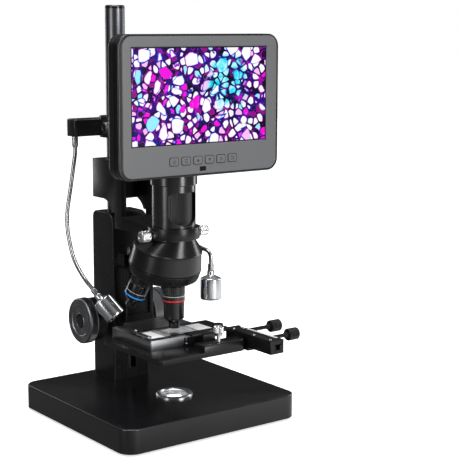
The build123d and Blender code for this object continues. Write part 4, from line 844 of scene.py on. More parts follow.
# -------- Finishes of this microscope --------
SATIN_BLACK = Coat("satin black enamel", (0.003, 0.0031, 0.0037), 0.2, wear_and_glint=0.15, dust=0.004, specular=0.55)
CAST_BLACK = Coat("black casting", (0.005, 0.0051, 0.0057), 0.28, wear_and_glint=0.2, dust=0.006)
COLUMN_BLACK = Coat("column black", (0.006, 0.0062, 0.0068), 0.26, wear_and_glint=0.2, dust=0.0)
ANODISED = Coat("anodised black", (0.0045, 0.0046, 0.0051), 0.24, 3200.0, 0.012, 0.2, 0.006)
# The lens and ribbed blacks use full edge weight: their lightened rib edges are painted highlights.
LENS_BLACK = Coat("lens black", (0.003, 0.003, 0.0034), 0.16, 4200.0, 0.005, 1.0, 0.0, 0.5)
GRIP_BLACK = Coat("ribbed black", (0.004, 0.0041, 0.0046), 0.24, 3200.0, 0.012, 1.0, 0.0)
TUBE_BLACK = Coat("camera tube black", (0.008, 0.0083, 0.009), 0.2, 3000.0, 0.01, 0.2, 0.0, 0.5)
COVER_BLACK = Coat("nosepiece black", (0.005, 0.0052, 0.0057), 0.22, 3000.0, 0.01, 0.2, 0.0, 0.35)
CHROME = Machined("bright chrome", (0.83, 0.84, 0.86), 0.06, Brush.NONE, 60.0, 0.002)
LAMP_STEEL = Machined("satin chrome", (0.6, 0.61, 0.63), 0.22, Brush.NONE, 60.0, 0.001)
NECK_CHROME = Machined("wound chrome", (0.4, 0.405, 0.42), 0.26, Brush.NONE, 90.0, 0.003)
STEEL = Machined("brushed steel", (0.55, 0.56, 0.58), 0.24, Brush.ALONG_X, 50.0)
UPRIGHT_STEEL = Machined("blackened steel", (0.13, 0.134, 0.145), 0.36, Brush.ALONG_Z, 50.0, 0.004)
BRIGHT_ALUMINIUM = Machined("bright aluminium", (0.72, 0.73, 0.75), 0.3, Brush.NONE, 400.0)
TABLE_FRONT = Machined("brushed table", (0.42, 0.425, 0.44), 0.3, Brush.ALONG_X, 320.0, 0.004)
KNOB_FACE = Spun("spun knob face", (0.24, 0.244, 0.255), (0, 70.8, 89.5), 0.22)
HOUSING_GREY = Moulded("anthracite moulding", (0.115, 0.117, 0.122), 0.45, specular=0.35)
SHELL_BLACK = Moulded("black moulding", (0.004, 0.004, 0.0045), 0.22, specular=0.3)
RUBBER = Moulded("foot rubber", (0.012, 0.012, 0.012), 0.8, 1500.0, 0.05, 0.25)
RUBBER_GRIP = Moulded("ribbed grip", (0.01, 0.01, 0.0105), 0.5, 2600.0, 0.02, 0.4)
EYE_BLACK = Moulded("infrared window", (0.006, 0.004, 0.005), 0.12, specular=0.5)
BLUE_BAND = Moulded("blue band", (0.0, 0.28, 0.83), 0.35)
RED_BAND = Moulded("red band", (0.62, 0.004, 0.008), 0.35)
WHITE_PRINT = Moulded("white print", (0.75, 0.76, 0.76), 0.5)
DARK_PRINT = Moulded("dark print", (0.01, 0.01, 0.011), 0.5)
SCALE_WHITE = Moulded("scale white", (0.62, 0.63, 0.64), 0.4)
LABEL_WHITE = Moulded("frosted label", (0.95, 0.95, 0.96), 0.6)
STAIN = Moulded("specimen stain", (0.75, 0.35, 0.5), 0.5)
WRAP = Moulded("cell wrap", (0.05, 0.12, 0.35), 0.4)
GLASS = ClearGlass("clear glass")
COATED_GLASS = ClearGlass("coated lens", (0.75, 0.82, 0.95), 0.02, 1.6)
BOARD = CircuitBoard("circuit board")
LED = Glow("lamp phosphor", (1.0, 0.93, 0.6), (0.75, 0.7, 0.42), 0.55, 900.0)
STAGE_LED = Glow("stage light", WHITE, (0.9, 0.93, 0.96), 4.0, 260.0)
# The reflector glows by emission: painted light in place of the light it throws back.
REFLECTOR_PAINTED_GLOW = Glow("reflector with painted glow", (0.8, 0.81, 0.84), (0.3, 0.31, 0.33), 0.3, 150.0)


class Workshop:
    """Makes each finish once and dresses pieces with it."""

    def __init__(self) -> None:
        """Starts with no material made."""
        self.made: dict[str, bpy.types.Material] = {}
        self.shading = self.shading_tree()

    def coat(self, piece: Piece, finish: Finish) -> None:
        """Gives an object one finish, which is made at its first use."""
        if finish.name not in self.made:
            self.made[finish.name] = finish.material()
        piece.data.materials.clear()
        piece.data.materials.append(self.made[finish.name])

    def shading_tree(self) -> bpy.types.NodeTree:
        """Mesh nodes that shade curved faces smooth and keep real edges sharp."""
        tree = bpy.data.node_groups.new("smooth by angle", "GeometryNodeTree")
        for way in ("INPUT", "OUTPUT"):
            tree.interface.new_socket("Mesh", in_out=way, socket_type="NodeSocketGeometry")
        w = Wiring(tree)
        mesh = w.add("NodeGroupInput").outputs[0]
        smooth = w.add("GeometryNodeSetShadeSmooth", {0: mesh}, domain="FACE").outputs[0]
        angle = w.add("GeometryNodeInputMeshEdgeAngle").outputs["Unsigned Angle"]
        inputs = {0: angle, 1: math.radians(CAD_SHARP)}
        steep = w.add("FunctionNodeCompare", inputs, operation="GREATER_THAN").outputs[0]
        inputs = {0: smooth, "Selection": steep, "Shade Smooth": False}
        edges = w.add("GeometryNodeSetShadeSmooth", inputs, domain="EDGE")
        w.add("NodeGroupOutput", {0: edges.outputs[0]})
        return tree

    def modify(self, node: Piece, name: str, kind: str, **settings: object) -> None:
        """Adds one modifier with its settings."""
        modifier = node.modifiers.new(name, kind)
        for key, value in settings.items():
            setattr(modifier, key, value)

    def dress(self, finish: Finish, *names: str, bevel: float = 0.0) -> None:
        """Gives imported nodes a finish, soft edges and smooth curves.

        Args:
            finish: The finish.
            *names: The nodes' names.
            bevel: Width of the edge rounding in mm, or 0 for none.
        """
        for name in names:
            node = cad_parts[name]
            self.coat(node, finish)
            self.modify(node, "weld", "WELD", merge_threshold=WELD)
            if bevel:
                self.modify(node, "flat faces", "DECIMATE", decimate_type="DISSOLVE",
                            angle_limit=math.radians(FLAT))
                self.modify(node, "soft edges", "BEVEL", width=bevel * MM, segments=2,
                            limit_method="ANGLE", angle_limit=math.radians(CORNER), harden_normals=False)
            self.modify(node, "smooth by angle", "NODES", node_group=self.shading)
            log.info("dressed %s in %s", name, finish.name)

    def hang(self, piece: Piece, finish: Finish, body: str, slot: str, *replaces: str) -> None:
        """Dresses a new piece and hangs it on its body.

        Args:
            piece: The new object.
            finish: Its finish.
            body: The body that it rides on.
            slot: The record's slot; not used.
            *replaces: Nodes that it stands for.
        """
        self.coat(piece, finish)
        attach(piece, body)
        if replaces:
            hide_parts(*replaces)
        log.info("made %s, %d faces, on %s", piece.name, len(piece.data.polygons), body)


@dataclass
class Assembly:
    """A group of pieces that is built in the workshop."""

    shop: Workshop


# -------- Base and column --------
@dataclass
class Base(Assembly):
    """The heavy base with its feet and the light, and the column and pole."""

    def build(self) -> None:
        """Dresses the nodes and makes the lens shell, reflector and emitter."""
        shop, seat = self.shop, Seat((0, OPTICAL_Y, 0))
        shop.dress(SATIN_BLACK, "base_casting")
        shop.dress(SHELL_BLACK, "base_cover", "pole_cap")
        shop.dress(RUBBER, "base_feet")
        shop.dress(BRIGHT_ALUMINIUM, "illuminator_bezel")
        shop.dress(BOARD, "illuminator_board")
        shop.dress(COLUMN_BLACK, "column")
        shop.dress(CHROME, "guide_rail")
        shop.dress(UPRIGHT_STEEL, "pole")
        lens = [(0, 29.25), (4, 29.05), (8, 28.45), (11.5, 27.6), (13.9, 26.9), (13.9, 26.2),
                (11.5, 26.9), (8, 27.7), (4, 28.3), (0, 28.5)]
        piece = turned("stage_light_lens", lens, seat, 72)
        shop.hang(piece, GLASS, "stand", "diffuser", "illuminator_lens")

        def facets(height: np.ndarray, angle: np.ndarray) -> np.ndarray:
            """Shallow scallops round the reflector, above its floor."""
            return 0.35 * np.abs(np.sin(9 * angle)) * (height > 22.6)

        dish = [(13.8, 26.0), (13.2, 26.0), (10.5, 24.4), (7.0, 23.0), (4.0, 22.4), (3.4, 22.3),
                (0, 22.3), (0, 21.95), (13.8, 21.95), (13.8, 26.0)]
        # The reflector shines by its own glow, painted light in place of reflection.
        piece = turned("stage_light_reflector", dish, seat, 72, 0.0, facets)
        shop.hang(piece, REFLECTOR_PAINTED_GLOW, "stand", "bright_aluminium")
        chip = [(0, 25.0), (4.5, 24.7), (7.6, 24.0), (8.4, 23.5), (0, 22.4)]
        shop.hang(turned("stage_light_emitter", chip, seat, 32, 0.2), STAGE_LED, "stand", "diffuser")


@dataclass
class FocusDrive(Assembly):
    """The focus shaft and its two large knobs."""

    axis: Point = (70.8, 89.5)
    radius: float = 23.7
    inner: float = 28.0
    outer: float = 50.0
    ribs: int = 120

    def knob(self, side: int, name: str) -> None:
        """Makes one knob: ribbed grip, stepped neck and a dished face.

        Args:
            side: -1 for the left knob and 1 for the right.
            name: The node it stands for.
        """
        depth, r = self.outer - self.inner, self.radius
        profile = [
            (4.05, 0.0), (r - 3.0, 0.0), (r - 1.2, 2.0), (r - 1.2, depth - 9.0),
            (r - 0.05, depth - 9.0), (r - 0.05, depth - 1.2), (r - 1.2, depth),
            (15.8, depth), (15.0, depth - 0.9), (8.2, depth - 0.9), (7.6, depth - 0.4),
            (7.2, depth - 2.9), (0, depth - 2.9), (0, depth - 4.0), (4.05, depth - 4.0), (4.05, 0.0),
        ]
        cap = [(7.15, depth - 2.88), (7.15, depth - 1.3), (5.0, depth - 0.9), (0, depth - 0.8),
               (0, depth - 2.88), (7.15, depth - 2.88)]
        seat = Seat((side * self.inner, *self.axis), (side, 0, 0))
        knurl = Knurl(depth - 9.0, depth - 1.2, 0.5, 0.4, self.ribs, 0.45)
        piece = turned(name + "_turned", profile, seat, 4 * self.ribs, 0.25, knurl)
        self.shop.hang(piece, KNOB_FACE, "focus_drive", "black_aluminium", name)
        piece = turned(name + "_centre", cap, seat, 48, 0.2)
        self.shop.hang(piece, ANODISED, "focus_drive", "black_aluminium")

    def build(self) -> None:
        """Dresses the shaft and makes both knobs."""
        self.shop.dress(STEEL, "focus_shaft")
        self.knob(-1, "focus_knob_left")
        self.knob(1, "focus_knob_right")


# -------- Stage --------
def small_screw(name: str, origin: Point, way: Point, r: float) -> Piece:
    """A pan-head screw with a hexagon socket, of head radius r.

    The head is a turned profile; its socket's radius follows the distance to
    a hexagon's side, 0.9 / cos(angle modulo 60 deg - 30 deg).
    """

    def socket(height: np.ndarray, angle: np.ndarray) -> np.ndarray:
        """Pulls the socket's wall onto a hexagon."""
        inside = (height > 0.05 * r) & (height < 0.3 * r)
        fold = np.mod(angle, np.pi / 3) - np.pi / 6
        return np.where(inside, 0.5 * r * (0.9 / np.cos(fold) - 1.0), 0.0)

    profile = [(0, 0.1 * r), (0.5 * r, 0.1 * r), (0.55 * r, 0.62 * r), (0.85 * r, 0.58 * r),
               (r, 0.36 * r), (r, 0.0), (0, 0.0)]
    return turned(name, profile, Seat(origin, way), 36, 0.12, socket)


@dataclass
class Stage(Assembly):
    """The carriage, table, plate, cross slide and the two drive knobs."""

    def dress(self) -> None:
        """Dresses the stage's nodes and adds the small guard on its front."""
        shop = self.shop
        shop.dress(CAST_BLACK, "stage_carriage")
        shop.dress(CHROME, "slide_plate")
        shop.dress(STEEL, "focus_rack")
        shop.dress(ANODISED, "stage_plate", "cross_bar", bevel=0.3)
        shop.dress(TABLE_FRONT, "stage_table", bevel=0.3)
        shop.dress(ANODISED, "cross_rail")
        shop.dress(SCALE_WHITE, "rule_strip")
        guard = plate("stage_guard", round_box(23.0, 8.0, 0.5), (10.5, -47.3, 84.25), X, Z, 0.9)
        shop.hang(guard, CAST_BLACK, "stage", "black_aluminium")
        screws = [small_screw(f"guard_screw_{z}", (1.6, -47.2, z), (0, -1, 0), 0.95) for z in (82.2, 86.4)]
        shop.hang(joined("stage_guard_screws", screws), CHROME, "stage", "chrome")

    def rule_marks(self) -> None:
        """Division lines of the rule: every millimetre, longer at 5 and 10."""
        low, high = extent("rule_strip")
        marks, x, half = [], high[0] - 0.1, 0.09
        for index in range(int(high[1] - low[1] - 2.0) + 1):
            length = 2.6 if index % 10 == 0 else (2.0 if index % 5 == 0 else 1.3)
            y = low[1] + 1.0 + index
            marks += [(x - length, y - half), (x, y - half), (x, y + half), (x - length, y + half)]
        points = np.column_stack((np.array(marks), np.full(len(marks), high[2] + 0.03)))
        piece = mesh_piece("rule_divisions", points, np.arange(len(points)).reshape(-1, 4))
        self.shop.hang(piece, DARK_PRINT, "cross_slide", "white_scale")

    def drive_knobs(self) -> None:
        """Makes the knurled ends of the two cross drives."""
        for name, body in (("y_knob", "y_drive"), ("x_knob", "x_drive")):
            seat, length = centre_seat(name)
            neck, r = length - 13.0, 6.2
            profile = [
                (0, length), (r - 1.0, length), (r, length - 0.9), (r, neck + 0.9), (r - 0.9, neck),
                (2.9, neck), (2.9, neck - 3.0), (2.0, neck - 3.6), (2.0, 3.0), (0, 3.0),
            ]
            knurl = Knurl(neck + 0.9, length - 0.9, 0.35, 0.3, 22, 0.35, 3.4)
            piece = turned(name + "_turned", profile, seat, 132, 0.2, knurl)
            self.shop.hang(piece, ANODISED, body, "black_aluminium", name)

    def clamp(self) -> None:
        """Makes the bright thumb screw on the raised lug."""
        low, high = extent("thumb_screw")
        top, bottom, r = high[2], low[2], 5.2
        profile = [(0, top - 0.6), (3.0, top - 0.6), (3.3, top), (r - 0.4, top), (r, top - 0.5),
                   (r, top - 5.6), (r - 1.2, top - 6.4), (3.2, top - 9.0), (2.0, top - 9.2),
                   (2.0, bottom), (0, bottom)]
        knurl = Knurl(top - 5.6, top - 0.5, 0.35, 0.2, 32, 0.3)
        seat = Seat((*(low[:2] + high[:2]) / 2, 0))
        piece = turned("thumb_screw_turned", profile, seat, 128, 0.15, knurl)
        self.shop.hang(piece, CHROME, "clamp_screw", "chrome", "thumb_screw")

    def screws(self) -> None:
        """Small screws on the top of the cross bar."""
        low, high = extent("cross_bar")
        spots = [(low[0] + 3.2, high[1] - 9.0), (high[0] - 3.2, high[1] - 12.0),
                 (low[0] + 3.0, low[1] + 30.0), (low[0] + 3.2, low[1] + 5.0)]
        for index, spot in enumerate(spots):
            piece = small_screw(f"bar_screw_{index}", (*spot, high[2] - 0.2), Z, 1.5)
            self.shop.hang(piece, STEEL, "cross_slide", "black_aluminium")

    def build(self) -> None:
        """Builds everything that belongs to the stage."""
        self.dress()
        self.rule_marks()
        self.drive_knobs()
        self.clamp()
        self.screws()


@dataclass
class SlideHolder(Assembly):
    """The sprung holder with the glass slide that it grips."""

    def screw_head(self) -> None:
        """Makes the domed, knurled head of the holder's screw."""
        top = extent("slide_holder")[1][2]
        profile = [(0, top + 0.35), (2.6, top + 0.3), (4.4, top - 0.25), (4.95, top - 1.1),
                   (4.95, top - 3.2), (4.4, top - 3.5), (0, top - 3.5)]
        knurl = Knurl(top - 3.3, top - 1.0, 0.4, 0.2, 24, 0.3)
        piece = turned("holder_screw_head", profile, Seat((43.0, -43.5, 0)), 96, 0.3, knurl)
        self.shop.hang(piece, ANODISED, "slide_carrier", "cast_black")

    def build(self) -> None:
        """Dresses the holder, then adds the labels, cover slip and section."""
        self.shop.dress(CAST_BLACK, "slide_holder", bevel=0.25)
        self.shop.dress(STEEL, "clip_finger", bevel=0.2)
        self.shop.dress(GLASS, "specimen_slide")
        self.screw_head()
        low, high = extent("specimen_slide")
        y, top, label = (low[1] + high[1]) / 2, high[2], round_box(17.0, 25.2, 0.4)
        t = circle(40)
        reach = 4.6 + 0.5 * np.sin(3 * t + 0.4) + 0.25 * np.sin(7 * t)
        outline = list(zip(reach * np.cos(t), 0.8 * reach * np.sin(t)))
        for name, shape, x, rise, thickness, finish in (
            ("slide_label_left", label, -29.2, 0.06, 0.05, LABEL_WHITE),
            ("slide_label_right", label, 29.2, 0.06, 0.05, LABEL_WHITE),
            ("cover_slip", round_box(22.0, 22.0, 0.2), 0, 0.2, 0.13, GLASS),
            ("stained_section", outline, 0, 0.05, 0.03, STAIN),
        ):
            piece = plate(name, shape, (x, y, top + rise), X, Y, thickness)
            self.shop.hang(piece, finish, "slide_carrier", "clear_glass")


# -------- Camera arm, head and nosepiece --------
@dataclass
class CameraHead(Assembly):
    """The arm on the pole, its screws, and the camera tube that it holds."""

    screw_z: float = 189.5
    screw_reach: float = 28.5

    def ring_screw(self, side: int, place: str) -> None:
        """Makes one bright, diamond-knurled ring screw."""
        profile = [
            (0, -6.0), (2.2, -6.0), (2.2, -0.6), (3.6, -0.5), (3.6, 0.0), (4.6, 0.0), (5.4, 0.8),
            (5.4, 9.9), (4.5, 10.9), (2.4, 11.0), (2.0, 10.6), (0, 10.6),
        ]
        seat = Seat((side * self.screw_reach, OPTICAL_Y, self.screw_z), (side, 0, 0))
        knurl = Knurl(0.8, 9.9, 0.34, 0.3, 16, 0.42, 3.2)
        piece = turned(f"ring_screw_{place}_turned", profile, seat, 128, 0.2, knurl)
        self.shop.hang(piece, CHROME, f"{place}_ring_screw", "chrome", f"ring_screw_{place}")

    def build(self) -> None:
        """Dresses arm and head and makes the screws, ribbed ring and lens."""
        shop, seat = self.shop, Seat((0, OPTICAL_Y, 0))
        shop.dress(CAST_BLACK, "camera_arm", bevel=0.5)
        shop.dress(SHELL_BLACK, "clamp_knob", bevel=0.2)
        shop.dress(TUBE_BLACK, "camera_tube")
        shop.dress(LENS_BLACK, "tube_lens")
        shop.dress(BOARD, "camera_board")
        shop.dress(CAST_BLACK, "screen_bracket", bevel=0.4)
        shop.dress(STEEL, "tilt_pin")
        self.ring_screw(-1, "left")
        self.ring_screw(1, "right")
        low, high = extent("focus_ring")
        base, top, r = low[2], high[2], 18.0
        profile = [(15.15, base), (r - 0.8, base), (r - 0.6, base + 1.0), (r, base + 1.4), (r, top - 2.4),
                   (r - 0.6, top - 2.0), (r - 0.6, top), (15.15, top), (15.15, base)]
        knurl = Knurl(base + 1.4, top - 2.4, 1.2, 0.4, 72, 0.55)
        grip = turned("focus_ring_ribbed", profile, seat, 288, 0.2, knurl)
        shop.hang(grip, RUBBER_GRIP, "lens_ring", "lens_black", "focus_ring")
        lens = [(0, 188.0), (6.0, 188.4), (9.4, 189.6), (9.4, 191.5), (0, 191.5)]
        shop.hang(turned("camera_lens", lens, seat, 48, 0.2), COATED_GLASS, "head", "lens_black")


@dataclass
class Nosepiece(Assembly):
    """The tilted turret with its grip band and three objectives."""

    pivot: Point = (0.0, OPTICAL_Y, 213.0)
    tilt: float = math.radians(15.0)
    seat: float = 75.0
    barrel_radius: float = 10.9
    tube_bottom: float = 184.3
    tube_radius: float = 21.2

    def axis(self) -> np.ndarray:
        """Unit direction of the turret's axis, down and towards the column."""
        return np.array((0.0, math.sin(self.tilt), -math.cos(self.tilt)))

    def way(self, place: int) -> np.ndarray:
        """Direction of one objective.

        The downward direction is turned about the turret's axis by a third
        of a circle for each place, by Rodrigues' formula.
        """
        axis, down = self.axis(), np.array((0.0, 0.0, -1.0))
        t = place * 2 * math.pi / 3
        spun = down * math.cos(t) + np.cross(axis, down) * math.sin(t)
        return spun + axis * (axis @ down) * (1 - math.cos(t))

    def ring(self, radius: float, along: float) -> np.ndarray:
        """A circle across the turret's axis, at a distance from the pivot.

        The point at angle t is pivot + axis x distance + radius x
        (cos t, -cos(tilt) sin t, -sin(tilt) sin t).
        """
        t, (_, sine, down) = circle(120), self.axis()
        across = np.stack((np.cos(t), down * np.sin(t), -sine * np.sin(t)), -1)
        return np.array(self.pivot) + self.axis() * along + radius * across

    def cover(self) -> None:
        """Makes the cover: a skewed cone under the tube, then the tilted bell."""
        t, r = circle(120), self.tube_radius
        top = np.stack((r * np.cos(t), OPTICAL_Y - r * np.sin(t), np.full(120, self.tube_bottom)), -1)
        rings = ((33.3, 37.3), (34.4, 38.2), (34.5, 40.2), (33.9, 40.5), (34.1, 42.0), (36.1, 56.8),
                 (35.8, 57.3), (30.0, 57.3))
        piece = lofted("nosepiece_cover_bell", [top, *(self.ring(*ring) for ring in rings)], 9.0)
        self.shop.hang(piece, COVER_BLACK, "head", "cast_black", "nosepiece_cover")

    def grip(self) -> None:
        """Makes the finely ribbed band round the turret's rim."""
        start, end, r0, r1 = 57.6, 66.8, 36.4, 34.85
        profile = [(33.0, start), (r0 - 0.5, start), (r0, start + 0.5), (r1, end - 0.5),
                   (r1 - 0.5, end), (33.0, end), (33.0, start)]
        knurl = Knurl(start + 0.5, end - 0.5, 0.9, 0.3, 96, 0.8)
        band = turned("turret_grip", profile, Seat(self.pivot, self.axis()), 480, 0.15, knurl, 40.0)
        self.shop.hang(band, GRIP_BLACK, "nosepiece", "black_aluminium")

    def objective(self, place: int, name: str, length: float, band: Finish, band_rise: float) -> None:
        """Makes one objective: knurled grip, coloured band, barrel and nose.

        Args:
            place: Its place in the turret, 0 for the one in use.
            name: The node it stands for.
            length: From the seat to the front, in mm.
            band: Finish of the coloured ring.
            band_rise: From the seat to the coloured ring.
        """
        low, r = self.seat, self.barrel_radius
        end, seat, ring = low + length, Seat(self.pivot, self.way(place)), low + band_rise
        profile = [
            (0, low - 5.0), (7.2, low - 5.0), (7.2, low), (r - 0.4, low), (r, low + 0.5), (r, low + 9.0),
            (r - 0.4, low + 9.3), (r - 0.4, low + 9.9), (r - 0.1, low + 10.2), (r - 0.1, ring + 1.6),
            (r - 0.5, ring + 2.0), (r - 0.9, max(ring + 2.4, end - 10.4)),
            (r - 1.3, max(ring + 2.8, end - 9.6)), (5.9, end - 6.0), (5.3, end - 5.6), (5.3, end - 0.6),
            (4.8, end), (3.4, end), (2.6, end - 1.0), (1.9, end - 1.0), (0, end - 1.0),
        ]
        line = [(r - 0.6, ring - 4.2), (r - 0.06, ring - 4.1), (r - 0.06, ring - 3.8),
                (r - 0.6, ring - 3.7), (r - 0.6, ring - 4.2)]
        stripe = [(r - 0.6, ring), (r, ring + 0.1), (r, ring + 1.3), (r - 0.6, ring + 1.4), (r - 0.6, ring)]
        glass = [(0, end - 0.45), (1.2, end - 0.55), (1.85, end - 0.9), (0, end - 0.95)]
        knurl = Knurl(low + 0.5, low + 9.0, 0.8, 0.4, 36, 0.42)
        for piece, finish, *replaces in (
            (turned(name + "_barrel", profile, seat, 180, 0.18, knurl), LENS_BLACK, name),
            (turned(name + "_line", line, seat, 96), WHITE_PRINT),
            (turned(name + "_band", stripe, seat, 96, 0.05), band),
            (turned(name + "_front_lens", glass, seat, 32, 0.1), COATED_GLASS),
        ):
            self.shop.hang(piece, finish, "nosepiece", "lens_black", *replaces)

    def build(self) -> None:
        """Dresses the turret and makes the objectives."""
        self.shop.dress(ANODISED, "turret", bevel=0.2)
        self.cover()
        self.grip()
        self.objective(0, "objective_high", 43.0, RED_BAND, 14.3)
        self.objective(1, "objective_medium", 36.0, BLUE_BAND, 22.0)
        self.objective(2, "objective_low", 33.0, BLUE_BAND, 19.0)


# -------- Screen --------
def arc(radius: float, start: float, end: float, width: float = SIGN_WIDTH) -> Profile:
    """Outline of a ring's arc between two angles in degrees."""
    t = np.radians(np.linspace(start, end, 18))
    way = np.column_stack((np.cos(t), np.sin(t)))
    return [*((radius + width / 2) * way), *((radius - width / 2) * way[::-1])]


def stroke(x0: float, z0: float, x1: float, z1: float, width: float = SIGN_WIDTH) -> Profile:
    """Outline of a straight bar between two points."""
    length = math.hypot(x1 - x0, z1 - z0)
    nx, nz = -(z1 - z0) / length * width / 2, (x1 - x0) / length * width / 2
    return [(x0 - nx, z0 - nz), (x1 - nx, z1 - nz), (x1 + nx, z1 + nz), (x0 + nx, z0 + nz)]


@dataclass
class Screen(Assembly):
    """The tilting display with its picture, buttons and case."""

    window: Point = (155.0, 90.0)
    window_z: float = 326.3
    face_y: float = -75.0
    button_z: float = 266.0
    first_x: float = -31.8
    pitch: float = 13.5

    def button(self, name: str, x: float, outlines: Sequence[Profile]) -> None:
        """Dresses one button, prints its sign and lays a black ring round it as painted shadow in the gap.

        Args:
            name: The button's node.
            x: Its middle in mm.
            outlines: The sign's flat outlines round its centre.
        """
        self.shop.dress(HOUSING_GREY, name)
        spot = (x, self.face_y - 0.83, self.button_z)
        sign = joined(name + "_sign", [plate("part", outline, spot, X, Z, 0.03) for outline in outlines])
        self.shop.hang(sign, DARK_PRINT, name, "screen_grey")
        # The black ring stands for the shadow in the gap round the button: painted shade.
        loops = []
        for width, height, corner, rise in (
            (10.6, 8.0, 1.8, -0.1), (10.6, 8.0, 1.8, 0.2), (9.7, 7.1, 1.4, 0.2), (9.7, 7.1, 1.4, -0.1),
        ):
            flat = np.array(round_box(width, height, corner)) + (x, self.button_z)
            loops.append(np.insert(flat, 1, self.face_y - rise, axis=1))
        rim = lofted(name + "_shadow_ring", loops, ring=True)
        self.shop.hang(rim, EYE_BLACK, "display", "shell_black")

    def build(self) -> None:
        """Dresses the case and the picture, then adds buttons and openings."""
        shop, y = self.shop, self.face_y
        picture = CellPicture("cell picture", (0.0, y + 1.2, self.window_z), self.window)
        face = FramedFace("screen face", (1.05, y, 317.25), (176.5, 128.1), 10.0,
                          HOUSING_GREY.colour, SHELL_BLACK.colour)
        shop.dress(face, "screen_bezel")
        shop.dress(SHELL_BLACK, "screen_shell")
        shop.dress(BOARD, "screen_board")
        shop.dress(WRAP, "battery")
        shop.dress(picture, "screen_panel")
        signs = {
            "power": [arc(1.6, 125, 415), stroke(0, 0.3, 0, 2.3)],
            "menu": [stroke(-1.9, z, 1.9, z) for z in (-1.5, 0, 1.5)],
            "up": [[(-1.9, -1.2), (1.9, -1.2), (0, 1.7)]],
            "down": [[(-1.9, 1.2), (0, -1.7), (1.9, 1.2)]],
            "confirm": [arc(1.35, 0, 358)],
            "back": [arc(1.4, -90, 90), stroke(0, 1.4, -1.2, 1.4), [(-1.0, 2.3), (-2.3, 1.4), (-1.0, 0.62)],
                     stroke(0, -1.4, -1.8, -1.4)],
        }
        for place, (name, outlines) in enumerate(signs.items()):
            self.button(f"button_{name}", self.first_x + place * self.pitch, outlines)
        eye = plate("infrared_window", round_box(7.2, 4.2, 1.0), (1.3, y - 0.05, 257.8), X, Z, 0.25)
        shop.hang(eye, EYE_BLACK, "display", "shell_black")
        sockets = ((300.0, 11.2, 1.6), (320.0, 10.6, 2.8), (340.0, 7.8, 2.6))
        for index, (z, height, depth) in enumerate(sockets):
            outline = round_box(depth, height, 0.5)
            mouth = plate(f"socket_mouth_{index}", outline, (89.6, -62.5, z), Y, Z, 1.2)
            shop.hang(mouth, STEEL, "display", "shell_black")


# -------- Lamps --------
@dataclass(frozen=True)
class NeckRoute:
    """One gooseneck: the corners of its line and the lamp at its end."""

    name: str
    points: Sequence[Point]
    lamp_back: Point
    lamp_way: Point

    def way(self) -> np.ndarray:
        """Unit direction in which the lamp points."""
        return np.array(self.lamp_way) / np.linalg.norm(self.lamp_way)

    def corners(self) -> np.ndarray:
        """Corners of the line, from the bar to the lamp's sleeve."""
        end = np.array(self.lamp_back) - self.way() * 10.0
        return np.array([*self.points, end - self.way() * 14.0, end])


LEFT_NECK = NeckRoute(
    "left",
    ((-43.5, 85.0, 268.8), (-43.5, 85.0, 262.0), (-51.0, 82.0, 229.0), (-62.0, 75.0, 193.0),
     (-61.0, 62.0, 156.0)),
    (-41.5, 43.0, 117.5), (0.40, -0.55, -0.73),
)
RIGHT_NECK = NeckRoute(
    "right",
    ((43.5, 85.0, 268.8), (43.5, 85.0, 258.0), (43.0, 84.0, 220.0), (46.0, 74.0, 184.0),
     (58.0, 38.0, 168.0)),
    (62.0, -5.0, 137.0), (0.0, 0.0, -1.0),
)


